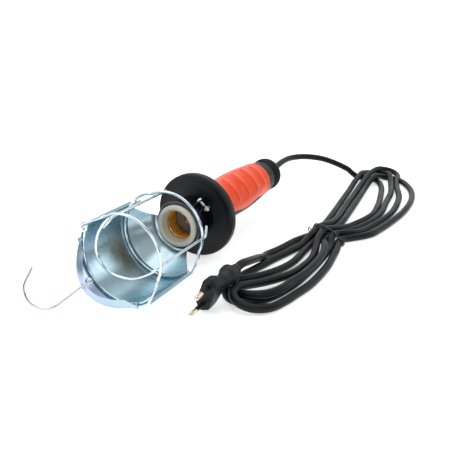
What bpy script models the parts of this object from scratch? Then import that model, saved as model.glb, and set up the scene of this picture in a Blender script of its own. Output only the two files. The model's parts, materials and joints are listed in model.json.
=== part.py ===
"""Hand inspection lamp: rubber grip, disc guard, porcelain screw lampholder, half-round sheet
reflector, hinged wire guard, swivel hook and a mains lead tied in a hank with its two-pin plug.

Lengths are in millimetres and become metres through MM. The lamp is modelled along its own
axis: x runs from the hook to the lead, y across to the guard's hinge, z out of the opening.
The empty `lamp_axis` then rolls it about x, as it lies, and lifts it onto the surface. The lead
and the plug are placed in the frame of the surface, below the middle of the disc.
"""

from math import cos, hypot, pi, radians, sin

import bmesh
import bpy
from mathutils import Matrix, Vector

MM = 0.001

# Where the lamp lies, and the point below it that becomes the origin
ROLL = radians(42.0)
AXIS_HEIGHT = 42.35
ORIGIN = (5.687, 12.593)
GAP = 0.3

# Disc, handle and end cap
DISC_R = 41.9
DISC_DEPTH = 7.5
DISC_WALL = 2.0
DISC_HOLE_R = 20.2
HANDLE_FRONT = 2.6
HANDLE_END = 151.0
HANDLE_BORE_R = 12.5
HANDLE_SHAPE = ((HANDLE_FRONT, 24.0), (7.2, 24.0), (8.8, 21.6), (59.0, 21.8), (75.0, 22.4),
                (90.0, 22.7), (100.0, 22.5), (119.0, 21.2), (134.0, 20.0), (144.0, 19.4),
                (HANDLE_END, 18.9))
GRIP_FRONT = 14.0
GRIP_REAR = 134.0
GRIP_RECESS = 1.6
GRIP_PROUD = 0.7
RIB_FIRST = 51.0
RIB_PITCH = 21.0
RIB_COUNT = 4
RIB_HEIGHT = 1.0
CAP_FRONT = HANDLE_END + 0.4
CAP_REAR = 174.0
CAP_NECK_R = 14.6
CAP_R = 19.3
CAP_HOLE_R = 7.6
CAP_SLOTS = 4
GLAND_END = 176.0
CORD_R = 3.8

# Lampholder and the clamp round it
SLEEVE_R = 19.5
SLEEVE_FRONT = -26.4
LIP_RING_FRONT = -31.0
LIP_RING_R = 23.4
PORCELAIN_FRONT = -35.1
PORCELAIN_R = 20.5
PORCELAIN_NECK_R = 17.6
MOUTH_R = 16.1
SHELL_R = 14.1
SHELL_FRONT = -27.0
SHELL_REAR = -11.0
CAVITY_FLOOR = -8.0
STRAP_R = 20.2
STRAP_FRONT = -25.6
STRAP_REAR = -0.6
STRAP_EAR = 27.2
STRAP_SHEET = 0.8
CLAMP_X = -11.5
CLAMP_Z = 24.2
LOCK_X = -22.5
LOCK_ANGLE = radians(195.0)

# Reflector
SHEET = 0.7
TROUGH_R = 42.0
TROUGH_REAR = -53.0
TROUGH_FRONT = -119.0
TROUGH_BULGE = 13.2
RIM_ANGLE = radians(81.0)
LIP_ANGLE = radians(64.0)
LIP_DEPTH = 7.6
HEM_WIDTH = 2.5
CONE_R = 41.0
CONE_FRONT = -56.4
CONE_BEND = -53.6
CONE_NECK = -30.0
CONE_NECK_R = 26.0
FLANGE_X = -26.5
FLANGE_R = 20.3

# Wires
WIRE_R = 1.25
HOOP_R = TROUGH_R - SHEET / 2 - GAP - WIRE_R
FRONT_HOOP_X = -116.7
REAR_HOOP_X = -58.4
HINGE_Z = -4.7
HINGE_Y = (HOOP_R**2 - HINGE_Z**2) ** 0.5
EYE_R = 2 * WIRE_R + GAP
FRONT_EYE_X = -122.2
REAR_EYE_X = -47.6
ARCH_CENTRE = (0.8, 2.0)
ARCH_R = 35.7
RUN_R = ARCH_R - 2 * WIRE_R - GAP
FRONT_ARCH_X = -113.0
NOSE_X = -117.2

# Hook, which swivels in a hole through the reflector's lip
HOOK_HOLE = (-132.6, 5.4, -38.4)
HOOK_TILT = radians(49.6)
HOOK_LEAN = radians(2.9)
HOOK_SHANK = 24.9
HOOK_BEND_R = 16.9
HOOK_BEND = radians(154.0)
HOOK_POINT = 11.7
HOOK_TOWARD = (-0.198, 0.553, 0.810)
HOOK_INSIDE = 4.4
HOOK_EYE_R = 2.1

# Lead, hank and plug
LEAD_ROUTE = ((GLAND_END + 0.3, 0, AXIS_HEIGHT), (GLAND_END + 9, 0, 42.5), (204, 1.5, 43.2),
              (230, 3, 43.8), (254, 1, 43.0), (276, -9.5, 40.8), (295.5, -26, 35.8),
              (309, -42, 28.0), (320, -54, 19.8))
TAIL_ROUTE = ((-24, -72.5, 19.0), (-2, -70.2, 12.6), (14, -68.2, 6.8), (26.3, -67.4, 5.6))
HANK_OUTLINE = ((27, -71.5), (-8, -75), (-28, -78), (-31, -57), (-46, -54.5), (-66, -59),
                (-79.5, -78), (-80, -104), (-68, -119), (-46, -128), (-10, -131), (28, -130.5),
                (85, -127), (108, -135), (148, -147.5), (185, -156), (224, -160), (269, -159),
                (308, -152), (349, -140), (379, -125), (398, -108), (400, -90), (384, -72),
                (368, -62), (349, -61), (330, -62), (250, -69.5), (145, -81.5), (98, -83.5),
                (64, -74), (27, -60))
HANK_LOW = 1.4
HANK_THIN = 8.4
HANK_THICK = 16.0
TIE_X = 92.0
TIE_WIDTH = 2.4
TIE_SHEET = 0.8
PLUG_FACE = (-99.2, -69.0, 17.05)
PLUG_PINS = (-0.994, 0.054, -0.093)
PLUG_ACROSS = (0.107, 0.371, -0.922)
PLUG_WIDTH = 35.3
PLUG_THICK = 13.7
PLUG_NECK = 26.0
PLUG_LENGTH = 50.5
PIN_R = 2.0
PIN_LENGTH = 19.0
PIN_SPACING = 18.6
PIN_SLEEVE = 9.5


def material(name: str, colour: tuple, roughness: float, metallic: float = 0.0) -> bpy.types.Material:
    """A Principled material with one colour."""
    made = bpy.data.materials.new(name)
    made.use_nodes = True
    shader = made.node_tree.nodes["Principled BSDF"]
    shader.inputs["Base Color"].default_value = (*colour, 1.0)
    shader.inputs["Roughness"].default_value = roughness
    shader.inputs["Metallic"].default_value = metallic
    return made


def clear_scene() -> None:
    """Remove every object that the scene starts with."""
    for obj in list(bpy.data.objects):
        bpy.data.objects.remove(obj, do_unlink=True)


def link(name: str, data: bpy.types.ID, finish: bpy.types.Material, parent=None) -> bpy.types.Object:
    """Put mesh or curve data in the scene as a named object with one material."""
    obj = bpy.data.objects.new(name, data)
    data.materials.append(finish)
    bpy.context.scene.collection.objects.link(obj)
    obj.parent = parent
    return obj


def from_bmesh(name: str, bm: bmesh.types.BMesh, finish, parent=None, smooth: bool = True):
    """Turn a bmesh into an object, with its faces pointing out and round parts smooth."""
    bmesh.ops.remove_doubles(bm, verts=bm.verts, dist=1e-7)
    bmesh.ops.recalc_face_normals(bm, faces=bm.faces)
    mesh = bpy.data.meshes.new(name)
    bm.to_mesh(mesh)
    bm.free()
    if smooth:
        mesh.shade_smooth()
        mesh.set_sharp_from_angle(angle=radians(35.0))
    return link(name, mesh, finish, parent)


def lathe(bm: bmesh.types.BMesh, outline, base=(0, 0, 0), along=(1, 0, 0), segments: int = 32,
          start: float = 0.0) -> None:
    """Turn a closed outline of (distance, radius) about the line from base along a direction."""
    turn = Vector(along).to_track_quat("X", "Z").to_matrix()
    rings = []
    for x, r in outline:
        angles = [start + 2 * pi * k / segments for k in range(segments if r > 0 else 1)]
        rings.append([bm.verts.new((Vector(base) + turn @ Vector((x, r * cos(a), r * sin(a)))) * MM)
                      for a in angles])
    for near, far in zip(rings, rings[1:] + rings[:1]):
        if len(near) == len(far) == 1:
            continue
        for k in range(segments):
            a, b = near[k % len(near)], near[(k + 1) % len(near)]
            c, d = far[(k + 1) % len(far)], far[k % len(far)]
            bm.faces.new([v for i, v in enumerate((a, b, c, d)) if v not in (a, b, c, d)[:i]])


def turned(name: str, outline, finish, parent=None, segments: int = 32) -> bpy.types.Object:
    """A piece turned about the lamp's axis."""
    bm = bmesh.new()
    lathe(bm, outline, segments=segments)
    return from_bmesh(name, bm, finish, parent)


def screw(bm: bmesh.types.BMesh, base, along, shank_r: float, length: float, head_r: float,
          head: float) -> None:
    """A screw whose head's underside is at base, with its shank running along a direction."""
    lathe(bm, [(-head, 0), (-head, head_r * 0.75), (-head * 0.6, head_r), (0, head_r),
               (0, shank_r), (length, shank_r), (length, 0)], base, along, segments=16)


def block(bm: bmesh.types.BMesh, low, high) -> None:
    """Add a box between two corners."""
    low, high = Vector(low) * MM, Vector(high) * MM
    size = Matrix.Diagonal((*(high - low), 1.0))
    bmesh.ops.create_cube(bm, size=1.0, matrix=Matrix.Translation((low + high) / 2) @ size)


def skin(bm: bmesh.types.BMesh, rows: list, around: bool = False) -> list:
    """Join rows of points with quads. A face is left out where a corner is None."""
    grid = [[p and bm.verts.new(Vector(p) * MM) for p in row] for row in rows]
    for near, far in zip(grid, grid[1:]):
        pairs = list(zip(near, near[1:], far[1:], far))
        if around:
            pairs.append((near[-1], near[0], far[0], far[-1]))
        for corners in pairs:
            if all(corners):
                bm.faces.new(corners)
    return grid


def sheet_metal(name: str, rows: list, finish, parent, thickness: float = SHEET):
    """A surface through rows of points, thickened evenly to both sides."""
    bm = bmesh.new()
    skin(bm, rows)
    obj = from_bmesh(name, bm, finish, parent)
    solid = obj.modifiers.new("sheet", "SOLIDIFY")
    solid.thickness = thickness * MM
    solid.offset = 0.0
    solid.use_even_offset = True
    return obj


def cut(obj: bpy.types.Object, bm: bmesh.types.BMesh) -> None:
    """Take the shape in a bmesh away from an object."""
    bmesh.ops.recalc_face_normals(bm, faces=bm.faces)
    mesh = bpy.data.meshes.new(f"{obj.name}_cutter")
    bm.to_mesh(mesh)
    bm.free()
    tool = bpy.data.objects.new(mesh.name, mesh)
    bpy.context.scene.collection.objects.link(tool)
    tool.parent = obj.parent
    tool.hide_render = True
    tool.display_type = "WIRE"
    boolean = obj.modifiers.new(tool.name, "BOOLEAN")
    boolean.operation = "DIFFERENCE"
    boolean.object = tool


def tube(name: str, points, radius: float, finish, parent=None, resolution: int = 2):
    """A round wire or cable along points, with flat closed ends."""
    curve = bpy.data.curves.new(name, "CURVE")
    curve.dimensions = "3D"
    curve.bevel_depth = radius * MM
    curve.bevel_resolution = resolution
    curve.use_fill_caps = True
    spline = curve.splines.new("POLY")
    spline.points.add(len(points) - 1)
    for knot, point in zip(spline.points, points):
        knot.co = (*(Vector(point) * MM), 1.0)
        knot.radius = 1.0
    spline.use_smooth = True
    return link(name, curve, finish, parent)


def smooth_route(points, step: float) -> list:
    """Points at an even step along a smooth curve through the given ones."""
    knots = [Vector(p) for p in points]
    knots = [2 * knots[0] - knots[1], *knots, 2 * knots[-1] - knots[-2]]
    fine = []
    for before, a, b, after in zip(knots, knots[1:], knots[2:], knots[3:]):
        for k in range(24):
            t = k / 24
            fine.append(0.5 * (2 * a + (b - before) * t + (2 * before - 5 * a + 4 * b - after) * t**2
                               + (3 * a - before - 3 * b + after) * t**3))
    fine.append(knots[-2])
    total = sum((b - a).length for a, b in zip(fine, fine[1:]))
    count = max(2, round(total / step))
    route, walked, target = [fine[0]], 0.0, total / count
    for a, b in zip(fine, fine[1:]):
        length = (b - a).length
        while length > 0 and walked + length >= target and len(route) < count:
            route.append(a.lerp(b, (target - walked) / length))
            target += total / count
        walked += length
    return [*route, fine[-1]]


def arc(x: float, centre, radius: float, start: float, end: float, step: float = 8.0) -> list:
    """Points on a circle about x at one x, between angles in degrees from +y towards +z."""
    count = max(1, round(abs(end - start) / step))
    angles = [radians(start + (end - start) * k / count) for k in range(count + 1)]
    return [(x, centre[0] + radius * cos(a), centre[1] + radius * sin(a)) for a in angles]


def ramp(x: float, table) -> float:
    """The value at x of a line through (x, value) pairs."""
    for (x0, v0), (x1, v1) in zip(table, table[1:]):
        if x <= x1:
            return v0 + (v1 - v0) * max(0.0, (x - x0) / (x1 - x0))
    return table[-1][1]


def grip_edge(x: float) -> float:
    """Half of the angle that the grip cover spans at x. Its lower edge waves along the handle."""
    return radians(71.0 + 5.5 * cos(2 * pi * (x - 72.0) / 54.0))


def make_handle(parent, black, orange) -> None:
    """The handle's core with its recess, and the grip cover that fills the recess."""
    columns = 10

    def ring(x: float, full: float, sunk: float, edge: float) -> list:
        angles = [edge * (2 * k / columns - 1) for k in range(columns + 1)]
        rest = [edge + (2 * pi - 2 * edge) * k / columns for k in range(columns + 1)]
        points = [(x, sunk * sin(a), sunk * cos(a)) for a in angles]
        return points + [(x, full * sin(a), full * cos(a)) for a in rest]

    front, rear = GRIP_FRONT - GAP, GRIP_REAR + GAP
    waves = [front + (rear - front) * k / 18 for k in range(19)]
    slack = GAP / 20.0
    rows = [ring(HANDLE_FRONT, HANDLE_BORE_R, HANDLE_BORE_R, grip_edge(front) + slack)]
    for x in [x for x, _ in HANDLE_SHAPE if x < front] + [front]:
        r = ramp(x, HANDLE_SHAPE)
        rows.append(ring(x, r, r, grip_edge(front) + slack))
    for x in waves:
        r = ramp(x, HANDLE_SHAPE)
        rows.append(ring(x, r, r - GRIP_RECESS, grip_edge(x) + slack))
    for x in [rear] + [x for x, _ in HANDLE_SHAPE if x > rear]:
        r = ramp(x, HANDLE_SHAPE)
        rows.append(ring(x, r, r, grip_edge(rear) + slack))
    rows.append(ring(HANDLE_END, HANDLE_BORE_R, HANDLE_BORE_R, grip_edge(rear) + slack))
    rows.append(rows[0])
    bm = bmesh.new()
    skin(bm, rows, around=True)
    from_bmesh("handle_core", bm, black, parent)

    bm = bmesh.new()
    stations = 40
    columns = 10
    outer, inner = [], []
    for i in range(stations + 1):
        x = GRIP_FRONT + (GRIP_REAR - GRIP_FRONT) * i / stations
        base = ramp(x, HANDLE_SHAPE)
        for rows, under in ((outer, False), (inner, True)):
            row = []
            for j in range(columns + 1):
                angle = grip_edge(x) * (2 * j / columns - 1)
                back = x - 3.0 * (angle / radians(38.0)) ** 2
                rib = (back - RIB_FIRST) / RIB_PITCH
                near = abs(rib - round(rib)) * RIB_PITCH
                on_rib = -0.5 < rib < RIB_COUNT - 0.5 and abs(angle) < radians(38.0)
                r = base + GRIP_PROUD + (RIB_HEIGHT * max(0.0, 1 - near / 4.5) if on_rib else 0.0)
                r += 0.5 if x > GRIP_REAR - 4.1 else 0.0
                if under:
                    r = base - GRIP_RECESS + GAP
                row.append((x, r * sin(angle), r * cos(angle)))
            rows.append(row)
    skin(bm, outer)
    skin(bm, inner)
    skin(bm, [outer[0], inner[0]])
    skin(bm, [outer[-1], inner[-1]])
    skin(bm, [[row[0] for row in outer], [row[0] for row in inner]])
    skin(bm, [[row[-1] for row in outer], [row[-1] for row in inner]])
    from_bmesh("grip_cover", bm, orange, parent)


def make_cap(parent, black, rubber) -> None:
    """The bell-shaped end cap, slotted round its neck, and the tapered gland on the lead."""
    cap = turned("end_cap", [
        (CAP_FRONT, CAP_NECK_R), (CAP_FRONT + 8.6, CAP_NECK_R), (CAP_FRONT + 11.5, CAP_R - 2.6),
        (CAP_FRONT + 14.8, CAP_R), (CAP_REAR - 4.0, CAP_R - 0.5), (CAP_REAR - 1.0, CAP_R - 2.0),
        (CAP_REAR, CAP_R - 4.0), (CAP_REAR, CAP_HOLE_R), (CAP_REAR - 3.0, CAP_HOLE_R),
        (CAP_REAR - 3.0, CAP_R - 5.0), (CAP_FRONT + 12.0, CAP_NECK_R - 1.0),
        (CAP_FRONT + 9.0, CAP_NECK_R - 2.4), (CAP_FRONT, CAP_NECK_R - 2.4)], black, parent)
    slots = bmesh.new()
    for k in range(CAP_SLOTS):
        made = bmesh.ops.create_cube(slots, size=1.0)["verts"]
        size = Matrix.Diagonal((3.0 * MM, 5.2 * MM, 6.0 * MM, 1.0))
        out = Matrix.Translation((0, 0, CAP_NECK_R * MM))
        turn = Matrix.Rotation(-radians(50.0) + k * 2 * pi / CAP_SLOTS, 4, "X")
        place = Matrix.Translation(((CAP_FRONT + 4.6) * MM, 0, 0)) @ turn @ out @ size
        bmesh.ops.transform(slots, matrix=place, verts=made)
    cut(cap, slots)
    inside = CAP_FRONT + 1.0
    turned("cord_gland", [
        (GLAND_END, CORD_R + GAP), (GLAND_END, 5.6), (CAP_REAR - 2.4, CAP_HOLE_R - GAP),
        (CAP_REAR - 3.3, CAP_HOLE_R - GAP), (CAP_REAR - 3.3, 9.5), (CAP_REAR - 6.5, 9.5),
        (CAP_REAR - 8.0, 8.2), (inside, 6.0), (inside, CORD_R + GAP)], rubber, parent, segments=20)


def make_cord_clamp(parent, plastic, steel, sheath, brown, blue) -> None:
    """The saddle that grips the lead inside the handle, its screws and the two cores."""
    bar, seat, bar_holes, seat_holes = (bmesh.new() for _ in range(4))
    block(bar, (126.0, -9.2, 4.1), (134.0, 9.2, 6.9))
    block(seat, (124.0, -8.6, -8.6), (136.0, 8.6, -4.1))
    for number, y in ((1, 6.0), (2, -6.0)):
        bm = bmesh.new()
        screw(bm, (130.0, y, 7.2), (0, 0, -1), 1.4, 12.9, 2.5, 1.7)
        from_bmesh(f"cord_clamp_screw_{number}", bm, steel, parent)
        lathe(bar_holes, [(0, 0), (0, 1.7), (8, 1.7), (8, 0)], (130.0, y, 1.0), (0, 0, 1), 12)
        lathe(seat_holes, [(0, 0), (0, 1.7), (8, 1.7), (8, 0)], (130.0, y, -7.0), (0, 0, 1), 12)
    cut(from_bmesh("cord_clamp_bar", bar, steel, parent, smooth=False), bar_holes)
    cut(from_bmesh("cord_clamp_seat", seat, plastic, parent, smooth=False), seat_holes)
    turned("lead_inner_end", [(118.0, 0), (118.0, CORD_R), (GLAND_END, CORD_R), (GLAND_END, 0)],
           sheath, parent, segments=12)
    for name, side, finish in (("live_core", 1, brown), ("neutral_core", -1, blue)):
        route = [(117.7, 1.4 * side, 0), (100, 3 * side, 0), (60, 5.5 * side, 1.5 * side),
                 (24, 7 * side, 0), (4.9, 8.0 * side, 0)]
        tube(name, smooth_route(route, 6.0), 1.1, finish, parent)


def make_holder(parent, black, gloss, porcelain, brass, fibre, copper, steel) -> None:
    """Disc guard, sleeve, porcelain lampholder with its contacts, and the ring round its lip."""
    turned("disc_guard", [
        (0.0, DISC_HOLE_R), (0.6, DISC_R - 6.5), (0.0, DISC_R - 4.0), (-0.6, DISC_R - 2.4),
        (0.0, DISC_R - 0.6), (1.0, DISC_R), (DISC_DEPTH, DISC_R), (DISC_DEPTH, DISC_R - DISC_WALL),
        (2.6, DISC_R - DISC_WALL), (DISC_WALL, DISC_R - 4.0), (DISC_WALL, DISC_HOLE_R)],
        black, parent, segments=48)
    sleeve = turned("hub_sleeve", [
        (SLEEVE_FRONT, SLEEVE_R), (2.3, SLEEVE_R), (2.3, PORCELAIN_NECK_R + GAP),
        (SLEEVE_FRONT, PORCELAIN_NECK_R + GAP)], gloss, parent, segments=32)
    direction = Vector((0, cos(LOCK_ANGLE), sin(LOCK_ANGLE)))
    hole = bmesh.new()
    lathe(hole, [(15, 0), (15, 1.8), (24, 1.8), (24, 0)], (LOCK_X, 0, 0), direction, 12)
    cut(sleeve, hole)
    turned("lip_ring", [
        (LIP_RING_FRONT, PORCELAIN_R + GAP), (LIP_RING_FRONT, LIP_RING_R - 0.8),
        (LIP_RING_FRONT + 0.8, LIP_RING_R), (-29.4, LIP_RING_R), (-28.0, PORCELAIN_R + GAP)],
        gloss, parent, segments=32)
    body = turned("porcelain_body", [
        (PORCELAIN_FRONT, MOUTH_R + 1.2), (PORCELAIN_FRONT, PORCELAIN_R - 2.2),
        (PORCELAIN_FRONT + 0.7, PORCELAIN_R - 0.7), (PORCELAIN_FRONT + 2.3, PORCELAIN_R),
        (-27.7, PORCELAIN_R), (-27.7, PORCELAIN_NECK_R), (-1.5, PORCELAIN_NECK_R), (-1.5, 0),
        (CAVITY_FLOOR, 0), (CAVITY_FLOOR, SHELL_R + GAP), (SHELL_FRONT - 0.6, SHELL_R + GAP),
        (PORCELAIN_FRONT + 0.8, MOUTH_R)], porcelain, parent, segments=32)
    holes = bmesh.new()
    for side in (-1, 1):
        lathe(holes, [(0, 0), (0, 2.2), (12, 2.2), (12, 0)], (-11.0, 8.0 * side, 0), (1, 0, 0), 12)
    cut(body, holes)
    shell = [(SHELL_FRONT, SHELL_R)]
    pitch = 3.63
    turns = 4
    for k in range(turns):
        x = SHELL_FRONT + 1.0 + k * pitch
        shell += [(x, SHELL_R), (x + pitch / 2, SHELL_R - 0.8)]
    shell += [(SHELL_REAR, SHELL_R)]
    inner = [(x, r - 0.5) for x, r in reversed(shell)]
    turned("brass_shell", shell + inner, brass, parent, segments=24)
    plate = turned("contact_plate", [
        (-10.6, 0), (-10.6, 12.6), (CAVITY_FLOOR - GAP, 12.6), (CAVITY_FLOOR - GAP, 0)],
        fibre, parent, segments=24)
    holes = bmesh.new()
    for side in (-1, 1):
        lathe(holes, [(0, 0), (0, 1.9), (8, 1.9), (8, 0)], (-14.0, 8.0 * side, 0), (1, 0, 0), 12)
    cut(plate, holes)
    tongue = [(-11.25, 11.0), (-11.25, 5.0), (-12.6, 2.6), (-14.6, 0.0), (-14.4, -2.6)]
    centre = sheet_metal("centre_contact", [[(x, y, -2.4) for x, y in tongue],
                                            [(x, y, 2.4) for x, y in tongue]], copper, parent, 0.5)
    hole = bmesh.new()
    lathe(hole, [(0, 0), (0, 1.9), (8, 1.9), (8, 0)], (-15.0, 8.0, 0), (1, 0, 0), 12)
    cut(centre, hole)
    tongue = [(-11.25, -5.2), (-11.25, -10.6), (-12.2, -11.7), (-14.2, -11.9)]
    side_tab = sheet_metal("side_contact", [[(x, y, -2.2) for x, y in tongue],
                                            [(x, y, 2.2) for x, y in tongue]], copper, parent, 0.5)
    hole = bmesh.new()
    lathe(hole, [(0, 0), (0, 1.9), (8, 1.9), (8, 0)], (-15.0, -8.0, 0), (1, 0, 0), 12)
    cut(side_tab, hole)
    for number, side in ((1, 1), (2, -1)):
        bm = bmesh.new()
        screw(bm, (-11.8, 8.0 * side, 0), (1, 0, 0), 1.5, 14.2, 2.4, 1.2)
        from_bmesh(f"terminal_screw_{number}", bm, steel, parent)
        bm = bmesh.new()
        lathe(bm, [(-1.2, 1.8), (-1.2, 4.2), (1.8, 4.2), (1.8, 1.8)], (0, 8.0 * side, 0),
              (1, 0, 0), 6)
        from_bmesh(f"terminal_nut_{number}", bm, brass, parent, smooth=False)


def make_strap(parent, steel) -> None:
    """The strap that clamps the reflector round the sleeve, with its screw, nut and lock screw."""
    rows = []
    for k in range(3):
        x = STRAP_FRONT + (STRAP_REAR - STRAP_FRONT) * k / 2
        far = ramp(x, ((-26.0, 2.9), (0.0, 3.5)))
        near = ramp(x, ((-26.0, -5.7), (0.0, 0.7)))
        root = [(x, far, (STRAP_R**2 - far**2) ** 0.5), (x, near, (STRAP_R**2 - near**2) ** 0.5)]
        start, end = (90 - 57.3 * far / STRAP_R - 2), (90 - 57.3 * near / STRAP_R + 2 - 360)
        ring = arc(x, (0, 0), STRAP_R, start, end, 12.0)
        rows.append([(x, far, STRAP_EAR), (x, far, (STRAP_EAR + STRAP_R) / 2), root[0], *ring,
                     root[1], (x, near, (STRAP_EAR + STRAP_R) / 2), (x, near, STRAP_EAR)])
    strap = sheet_metal("neck_strap", rows, steel, parent, STRAP_SHEET)
    holes = bmesh.new()
    lathe(holes, [(0, 0), (0, 2.1), (20, 2.1), (20, 0)], (CLAMP_X, -10, CLAMP_Z), (0, 1, 0), 12)
    cut(strap, holes)
    direction = Vector((0, cos(LOCK_ANGLE), sin(LOCK_ANGLE)))
    hole = bmesh.new()
    lathe(hole, [(15, 0), (15, 1.8), (24, 1.8), (24, 0)], (LOCK_X, 0, 0), direction, 12)
    cut(strap, hole)
    bm = bmesh.new()
    screw(bm, (CLAMP_X, 3.95, CLAMP_Z), (0, -1, 0), 1.7, 12.4, 3.3, 2.4)
    from_bmesh("clamp_screw", bm, steel, parent)
    bm = bmesh.new()
    lathe(bm, [(0, 2.0), (0, 3.9), (2.6, 3.9), (2.6, 2.0)], (CLAMP_X, -7.0, CLAMP_Z),
          (0, 1, 0), 6)
    from_bmesh("clamp_nut", bm, steel, parent, smooth=False)
    bm = bmesh.new()
    base = Vector((LOCK_X, 0, 0)) + direction * (STRAP_R + STRAP_SHEET / 2 + GAP)
    screw(bm, base, -direction, 1.4, 2.9, 2.8, 2.6)
    from_bmesh("lock_screw", bm, steel, parent)


def reflector_point(x: float, radius: float, angle: float) -> tuple:
    """A point of the reflector. Angles run from its bottom towards the hinge side."""
    return (x, radius * sin(angle), -radius * cos(angle))


def make_reflector(parent, shell_finish, rear_finish) -> None:
    """The trough with its hemmed rims and turned-in front lip, and the cone behind it."""
    angles = [RIM_ANGLE * (k / 13 - 1) for k in range(27)]
    rows = []
    for angle in angles:
        bulge = cos(min(abs(angle) / radians(66.0), 1.0) * pi / 2) ** 1.5
        crease = TROUGH_FRONT - TROUGH_BULGE * bulge
        row = [reflector_point(TROUGH_REAR + (crease - TROUGH_REAR) * k / 2, TROUGH_R, angle)
               for k in range(3)]
        depth = LIP_DEPTH * min(1.0, 0.15 + (LIP_ANGLE - abs(angle)) / radians(16.0))
        for share in (0.12, 0.55, 1.0):
            inside = abs(angle) <= LIP_ANGLE
            row.append(inside and reflector_point(crease - 0.7 * min(1.0, share * 6) * bulge,
                                                  TROUGH_R - depth * share, angle) or None)
        rows.append(row)
    for rim, side in ((rows[0], -1), (rows[-1], 1)):
        hem = [p and (p[0], p[1] + side * HEM_WIDTH, p[2] + 0.2) for p in rim]
        rows.insert(0 if side < 0 else len(rows), hem)
    trough = sheet_metal("reflector_trough", rows, shell_finish, parent)
    hole = bmesh.new()
    x, y, z = HOOK_HOLE
    lathe(hole, [(-3, 0), (-3, 1.75), (3, 1.75), (3, 0)], (x, y, z), (1, 0, 0), 16)
    bmesh.ops.scale(hole, vec=(1, 1, 1.62), verts=hole.verts,
                    space=Matrix.Translation((-x * MM, -y * MM, -z * MM)))
    cut(trough, hole)

    rows = []
    profile = ((CONE_FRONT, CONE_R, 81.0), (CONE_BEND, CONE_R, 81.0), (-51.0, 39.2, 76.0),
               (-45.0, 35.3, 72.0), (-38.0, 30.9, 67.0), (CONE_NECK, CONE_NECK_R, 62.0),
               (-28.3, 23.2, 60.0), (FLANGE_X, FLANGE_R, 58.0))
    for k in range(19):
        rows.append([reflector_point(x, r, radians(half) * (k / 9 - 1)) for x, r, half in profile])
    sheet_metal("reflector_rear", rows, rear_finish, parent)


def make_hoops(parent, zinc) -> None:
    """The two hoops inside the reflector. Their ends on the far rim are the guard's hinge pins."""
    for name, x, pin_end, side in (("front_hoop", FRONT_HOOP_X, -126.0, -1),
                                   ("rear_hoop", REAR_HOOP_X, -43.8, 1)):
        hoop = arc(x, (0, 0), HOOP_R, 186.0, 353.25 - 4.0, 7.0)
        pin = [(x + side * 0.6, HINGE_Y - 0.05, HINGE_Z - 0.6), (x + side * 1.6, HINGE_Y, HINGE_Z),
               (x + side * 3.0, HINGE_Y, HINGE_Z), (pin_end, HINGE_Y, HINGE_Z)]
        tube(name, hoop + pin, WIRE_R, zinc, parent)


def make_guard(parent, zinc) -> None:
    """The hinged guard: two arches with eyes on the pins, a run each side and the nose loop."""
    eye = (HINGE_Y, HINGE_Z)
    outer = (HINGE_Y + EYE_R, HINGE_Z)
    x = FRONT_ARCH_X
    near = [(x - 2.4, -36.2, 8.6), (x - 6.0, -39.4, 2.6), (-120.9, -42.0, -3.4),
            (-120.9, -43.4, -7.6)]
    far = [(x - 3.0, 35.4, 12.0), (x - 7.0, 38.4, 6.4), (FRONT_EYE_X, 41.0, 1.2),
           (FRONT_EYE_X, outer[0] - 0.3, outer[1] + 2.0)]
    arch = arc(x, ARCH_CENTRE, ARCH_R, 164.0, 20.0, 7.2)
    curl = arc(FRONT_EYE_X, eye, EYE_R, 0.0, -232.0, 24.0)
    tube("front_arch", near[::-1] + arch + far + curl, WIRE_R, zinc, parent)
    x = REAR_EYE_X
    near = [(x - 0.4, -37.0, 7.4), (x - 1.6, -39.6, 2.4), (-51.2, -42.2, -3.2),
            (-51.2, -43.0, -7.6)]
    far = [(x, 37.4, 11.0), (x, 40.8, 4.0), (x, outer[0] - 0.4, outer[1] + 3.0)]
    arch = arc(x, ARCH_CENTRE, ARCH_R, 166.0, 20.0, 7.3)
    curl = arc(x, eye, EYE_R, 0.0, -232.0, 24.0)
    tube("rear_arch", near[::-1] + arch + far + curl, WIRE_R, zinc, parent)

    cy, cz = ARCH_CENTRE
    far_y, far_z = cy + RUN_R * cos(radians(24.8)), cz + RUN_R * sin(radians(24.8))
    near_y, near_z = cy + RUN_R * cos(radians(145.7)), cz + RUN_R * sin(radians(145.7))
    tube("far_run", smooth_route([(-30.5, far_y, far_z), (-60, far_y, far_z), (-90, far_y, far_z),
                                  (-108, far_y, far_z - 0.6), (-112.6, far_y - 1.2, far_z - 4.6),
                                  (-113.8, 29.5, 4.5)], 5.0), WIRE_R, zinc, parent)
    nose = [(NOSE_X, 29.8, 19.4), (NOSE_X, 30.2, 10.3), (NOSE_X, 28.8, -0.2), (NOSE_X, 25.0, -9.3),
            (NOSE_X, 20.9, -15.0), (NOSE_X, 13.1, -19.8), (NOSE_X, 1.8, -20.4),
            (NOSE_X, -7.2, -15.7), (NOSE_X, -16.7, -6.6), (NOSE_X, -22.1, 3.4),
            (NOSE_X, -25.4, 13.0), (-116.4, near_y, near_z - 2.6), (-112.4, near_y, near_z)]
    run = [(-95, near_y, near_z), (-75, near_y, near_z), (-55, near_y, near_z),
           (-38.5, near_y, near_z), (-35.6, near_y + 2.2, near_z + 2.2), (-32.9, -19.8, 26.4)]
    tube("near_run_and_nose", smooth_route(nose + run, 4.0), WIRE_R, zinc, parent)


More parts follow.
